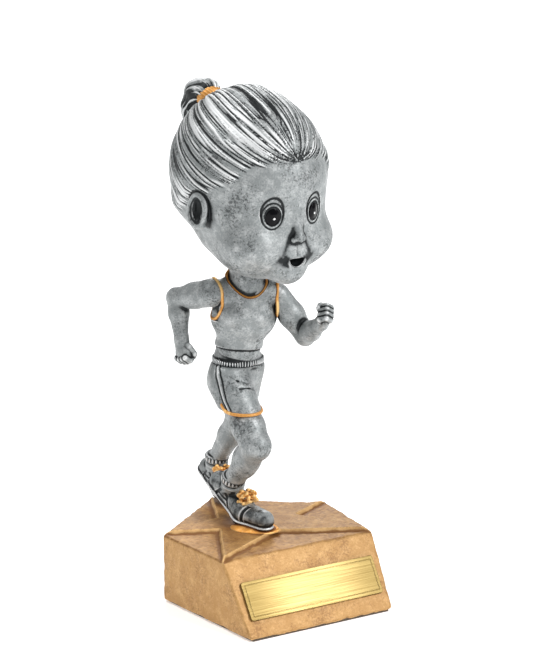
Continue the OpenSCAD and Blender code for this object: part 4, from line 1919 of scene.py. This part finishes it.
def make_plate():
    """Rings of one outline, shrunk and lifted: back, edge, bevel, border groove and face."""
    edge, groove = 0.12, 0.9
    top, groove_floor = PLATE_THICK, PLATE_THICK - 0.09
    levels = [(0, 0), (0, top - edge), (edge * 0.3, top - edge * 0.3), (edge, top)]
    levels += [(groove, top), (groove + 0.1, groove_floor), (groove + 0.22, groove_floor)]
    levels += [(groove + 0.32, top)]
    points, faces = [], []
    for shrink, lift in levels:
        corner = max(0.8 - shrink, 0.3)
        outline = rounded_outline(PLATE_HALF_WIDE - shrink, PLATE_HALF_HIGH - shrink, corner)
        points += [PLATE_BACK + [x, 0, 0] + PLATE_UP * y + PLATE_OUT * lift for x, y in outline]
    count = len(outline)
    for ring_number in range(len(levels) - 1):
        for k in range(count):
            a, b = ring_number * count + k, ring_number * count + (k + 1) % count
            faces.append((a, b, b + count, a + count))
    faces += [tuple(range(count))[::-1], tuple(range(len(points) - count, len(points)))]
    mesh = bpy.data.meshes.new("nameplate_sheet")
    mesh.from_pydata([tuple(p * MM) for p in points], [], faces)
    piece = bpy.data.objects.new("nameplate_sheet", mesh)
    bpy.context.collection.objects.link(piece)
    return piece


def make_brass():
    material, tree, shader = new_material("brushed brass", (0.62, 0.44, 0.13, 1), 0.85, 0.36)
    brushing = noise(tree, 0.35, 2, 0.6, (0.02, 1, 1))
    place = tree.nodes.new("ShaderNodeTexCoord").outputs["Object"]
    split = tree.nodes.new("ShaderNodeSeparateXYZ")
    wire(tree, place, split.inputs["Vector"])
    # Painted reflection: the brass is painted lighter in the middle and darker towards the plate's
    # ends.
    off_middle = maths(tree, "ABSOLUTE", split.outputs["X"], clamp=False)
    painted_end_shade = between(tree, off_middle, 0.004, PLATE_HALF_WIDE * MM * 0.95)
    bright = blend_colours(tree, painted_end_shade, (0.56, 0.42, 0.17, 1), (0.27, 0.195, 0.07, 1))
    streaks = maths(tree, "MULTIPLY", between(tree, brushing, 0.35, 0.7), 0.35)
    colour = blend_colours(tree, streaks, bright, (0.33, 0.22, 0.06, 1))
    wire(tree, colour, shader.inputs["Base Color"])
    wire(tree, maths(tree, "MULTIPLY_ADD", brushing, 0.3, 0.34), shader.inputs["Roughness"])
    rough_up(tree, shader, brushing, 0.35, 0.02)
    return material


brass = make_brass()
sheet = make_plate()
sheet.data.materials.append(brass)
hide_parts("nameplate")
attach(sheet, "trophy")

# %% [markdown]
# ## The spring
# The spring is wound from steel wire: closed turns at both ends sit round plastic bosses, and the
# open turns between them flex. The tube tree sweeps the wire along a helix. The turns at the foot
# stay with the trophy, and the wire of each group above them is left unattached, with its place
# baked into its mesh.

# %% Spring wire
WIRE_RADIUS = 0.45
COIL_RADIUS = 3.6
END_TURNS, OPEN_TURNS = 1.5, 6
END_PITCH, OPEN_PITCH = 2 * WIRE_RADIUS + 0.1, 2.6
SPRING_FOOT = np.array([SOCKET_MIDDLE[0], SOCKET_MIDDLE[1], box_mm("spring_foot_turns")[0][2]])


def coil_point(turn):
    opened = min(max(turn - END_TURNS, 0), OPEN_TURNS)
    closed = turn - opened
    angle = 2 * math.pi * turn
    height = WIRE_RADIUS + closed * END_PITCH + opened * OPEN_PITCH
    return SPRING_FOOT + [COIL_RADIUS * math.cos(angle), COIL_RADIUS * math.sin(angle), height]


def make_steel(name, colour, roughness):
    material, tree, shader = new_material(name, colour, 1.0, roughness)
    drawn = noise(tree, 0.3, 3, 0.6)
    darker = tuple(c * 0.7 for c in colour[:3]) + (1,)
    shade = blend_colours(tree, between(tree, drawn, 0.3, 0.75), darker, colour)
    wire(tree, shade, shader.inputs["Base Color"])
    wire(
        tree, maths(tree, "MULTIPLY_ADD", drawn, 0.25, roughness - 0.1), shader.inputs["Roughness"]
    )
    rough_up(tree, shader, drawn, 0.3, 0.02)
    return material


spring_steel = make_steel("spring steel", (0.55, 0.56, 0.58, 1), 0.28)
wire_steel = make_steel("galvanised wire", (0.42, 0.43, 0.45, 1), 0.45)
splits = [END_TURNS + OPEN_TURNS / 4 * k for k in range(4)]
groups = [
    ("spring_foot_turns", 0, END_TURNS, "trophy", None),
    ("spring_lower_turns", splits[0], splits[1], "trophy", "lower_turns"),
    ("spring_middle_turns", splits[1], splits[2], "lower_turns", "middle_turns"),
    ("spring_upper_turns", splits[2], splits[3], "middle_turns", "upper_turns"),
    ("spring_crown_turns", splits[3], 2 * END_TURNS + OPEN_TURNS, "upper_turns", "head"),
]
for node, first, last, below, above in groups:
    turns = np.linspace(first, last, int((last - first) * 40) + 1)
    piece = tube(
        node + "_wire", [coil_point(t) for t in turns], WIRE_RADIUS, spring_steel, sides=14
    )
    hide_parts(node)
    if above:
        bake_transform(piece)
    else:
        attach(piece, below)

# %% [markdown]
# ## Hidden and plain parts
# The felt, tape, wires, pins and plastic ends are simple shapes that the CAD model already has
# right, so they stay, and only get a better finish.

# %% Finishes for the CAD parts
def make_felt():
    material, tree, shader = new_material("brown felt", (0.05, 0.032, 0.02, 1), 0, 0.95)
    fibres, clumps = noise(tree, 0.18, 3, 0.7), noise(tree, 1.5, 3)
    shade = blend_colours(
        tree, between(tree, fibres, 0.3, 0.7), (0.03, 0.019, 0.012, 1), (0.10, 0.066, 0.042, 1)
    )
    clumped = blend_colours(
        tree, maths(tree, "MULTIPLY", clumps, 0.3), shade, (0.13, 0.10, 0.07, 1)
    )
    wire(tree, clumped, shader.inputs["Base Color"])
    shader.inputs["Sheen Weight"].default_value = 0.4
    rough_up(tree, shader, fibres, 0.9, 0.2)
    return material


def make_moulded(name, dark, light, roughness):
    material, tree, shader = new_material(name, light, 0, roughness)
    flow = noise(tree, 1.2, 3)
    shade = blend_colours(tree, between(tree, flow, 0.3, 0.7), dark, light)
    wire(tree, shade, shader.inputs["Base Color"])
    wire(tree, maths(tree, "MULTIPLY_ADD", flow, 0.2, roughness - 0.1), shader.inputs["Roughness"])
    rough_up(tree, shader, flow, 0.2, 0.03)
    return material


plastic = make_moulded("ivory plastic", (0.62, 0.56, 0.42, 1), (0.74, 0.69, 0.56, 1), 0.4)
foam_tape = make_moulded("foam tape", (0.74, 0.74, 0.72, 1), (0.86, 0.86, 0.84, 1), 0.7)
finishes = {
    "felt_pad": make_felt(),
    "nameplate_tape": foam_tape,
    "shoulder_pins": wire_steel,
    "front_leg_wire": wire_steel,
    "rear_leg_wire": wire_steel,
    "neck_plug": plastic,
    "spring_cap": plastic,
}
for node, finish in finishes.items():
    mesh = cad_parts[node].data
    mesh.materials.clear()
    mesh.materials.append(finish)
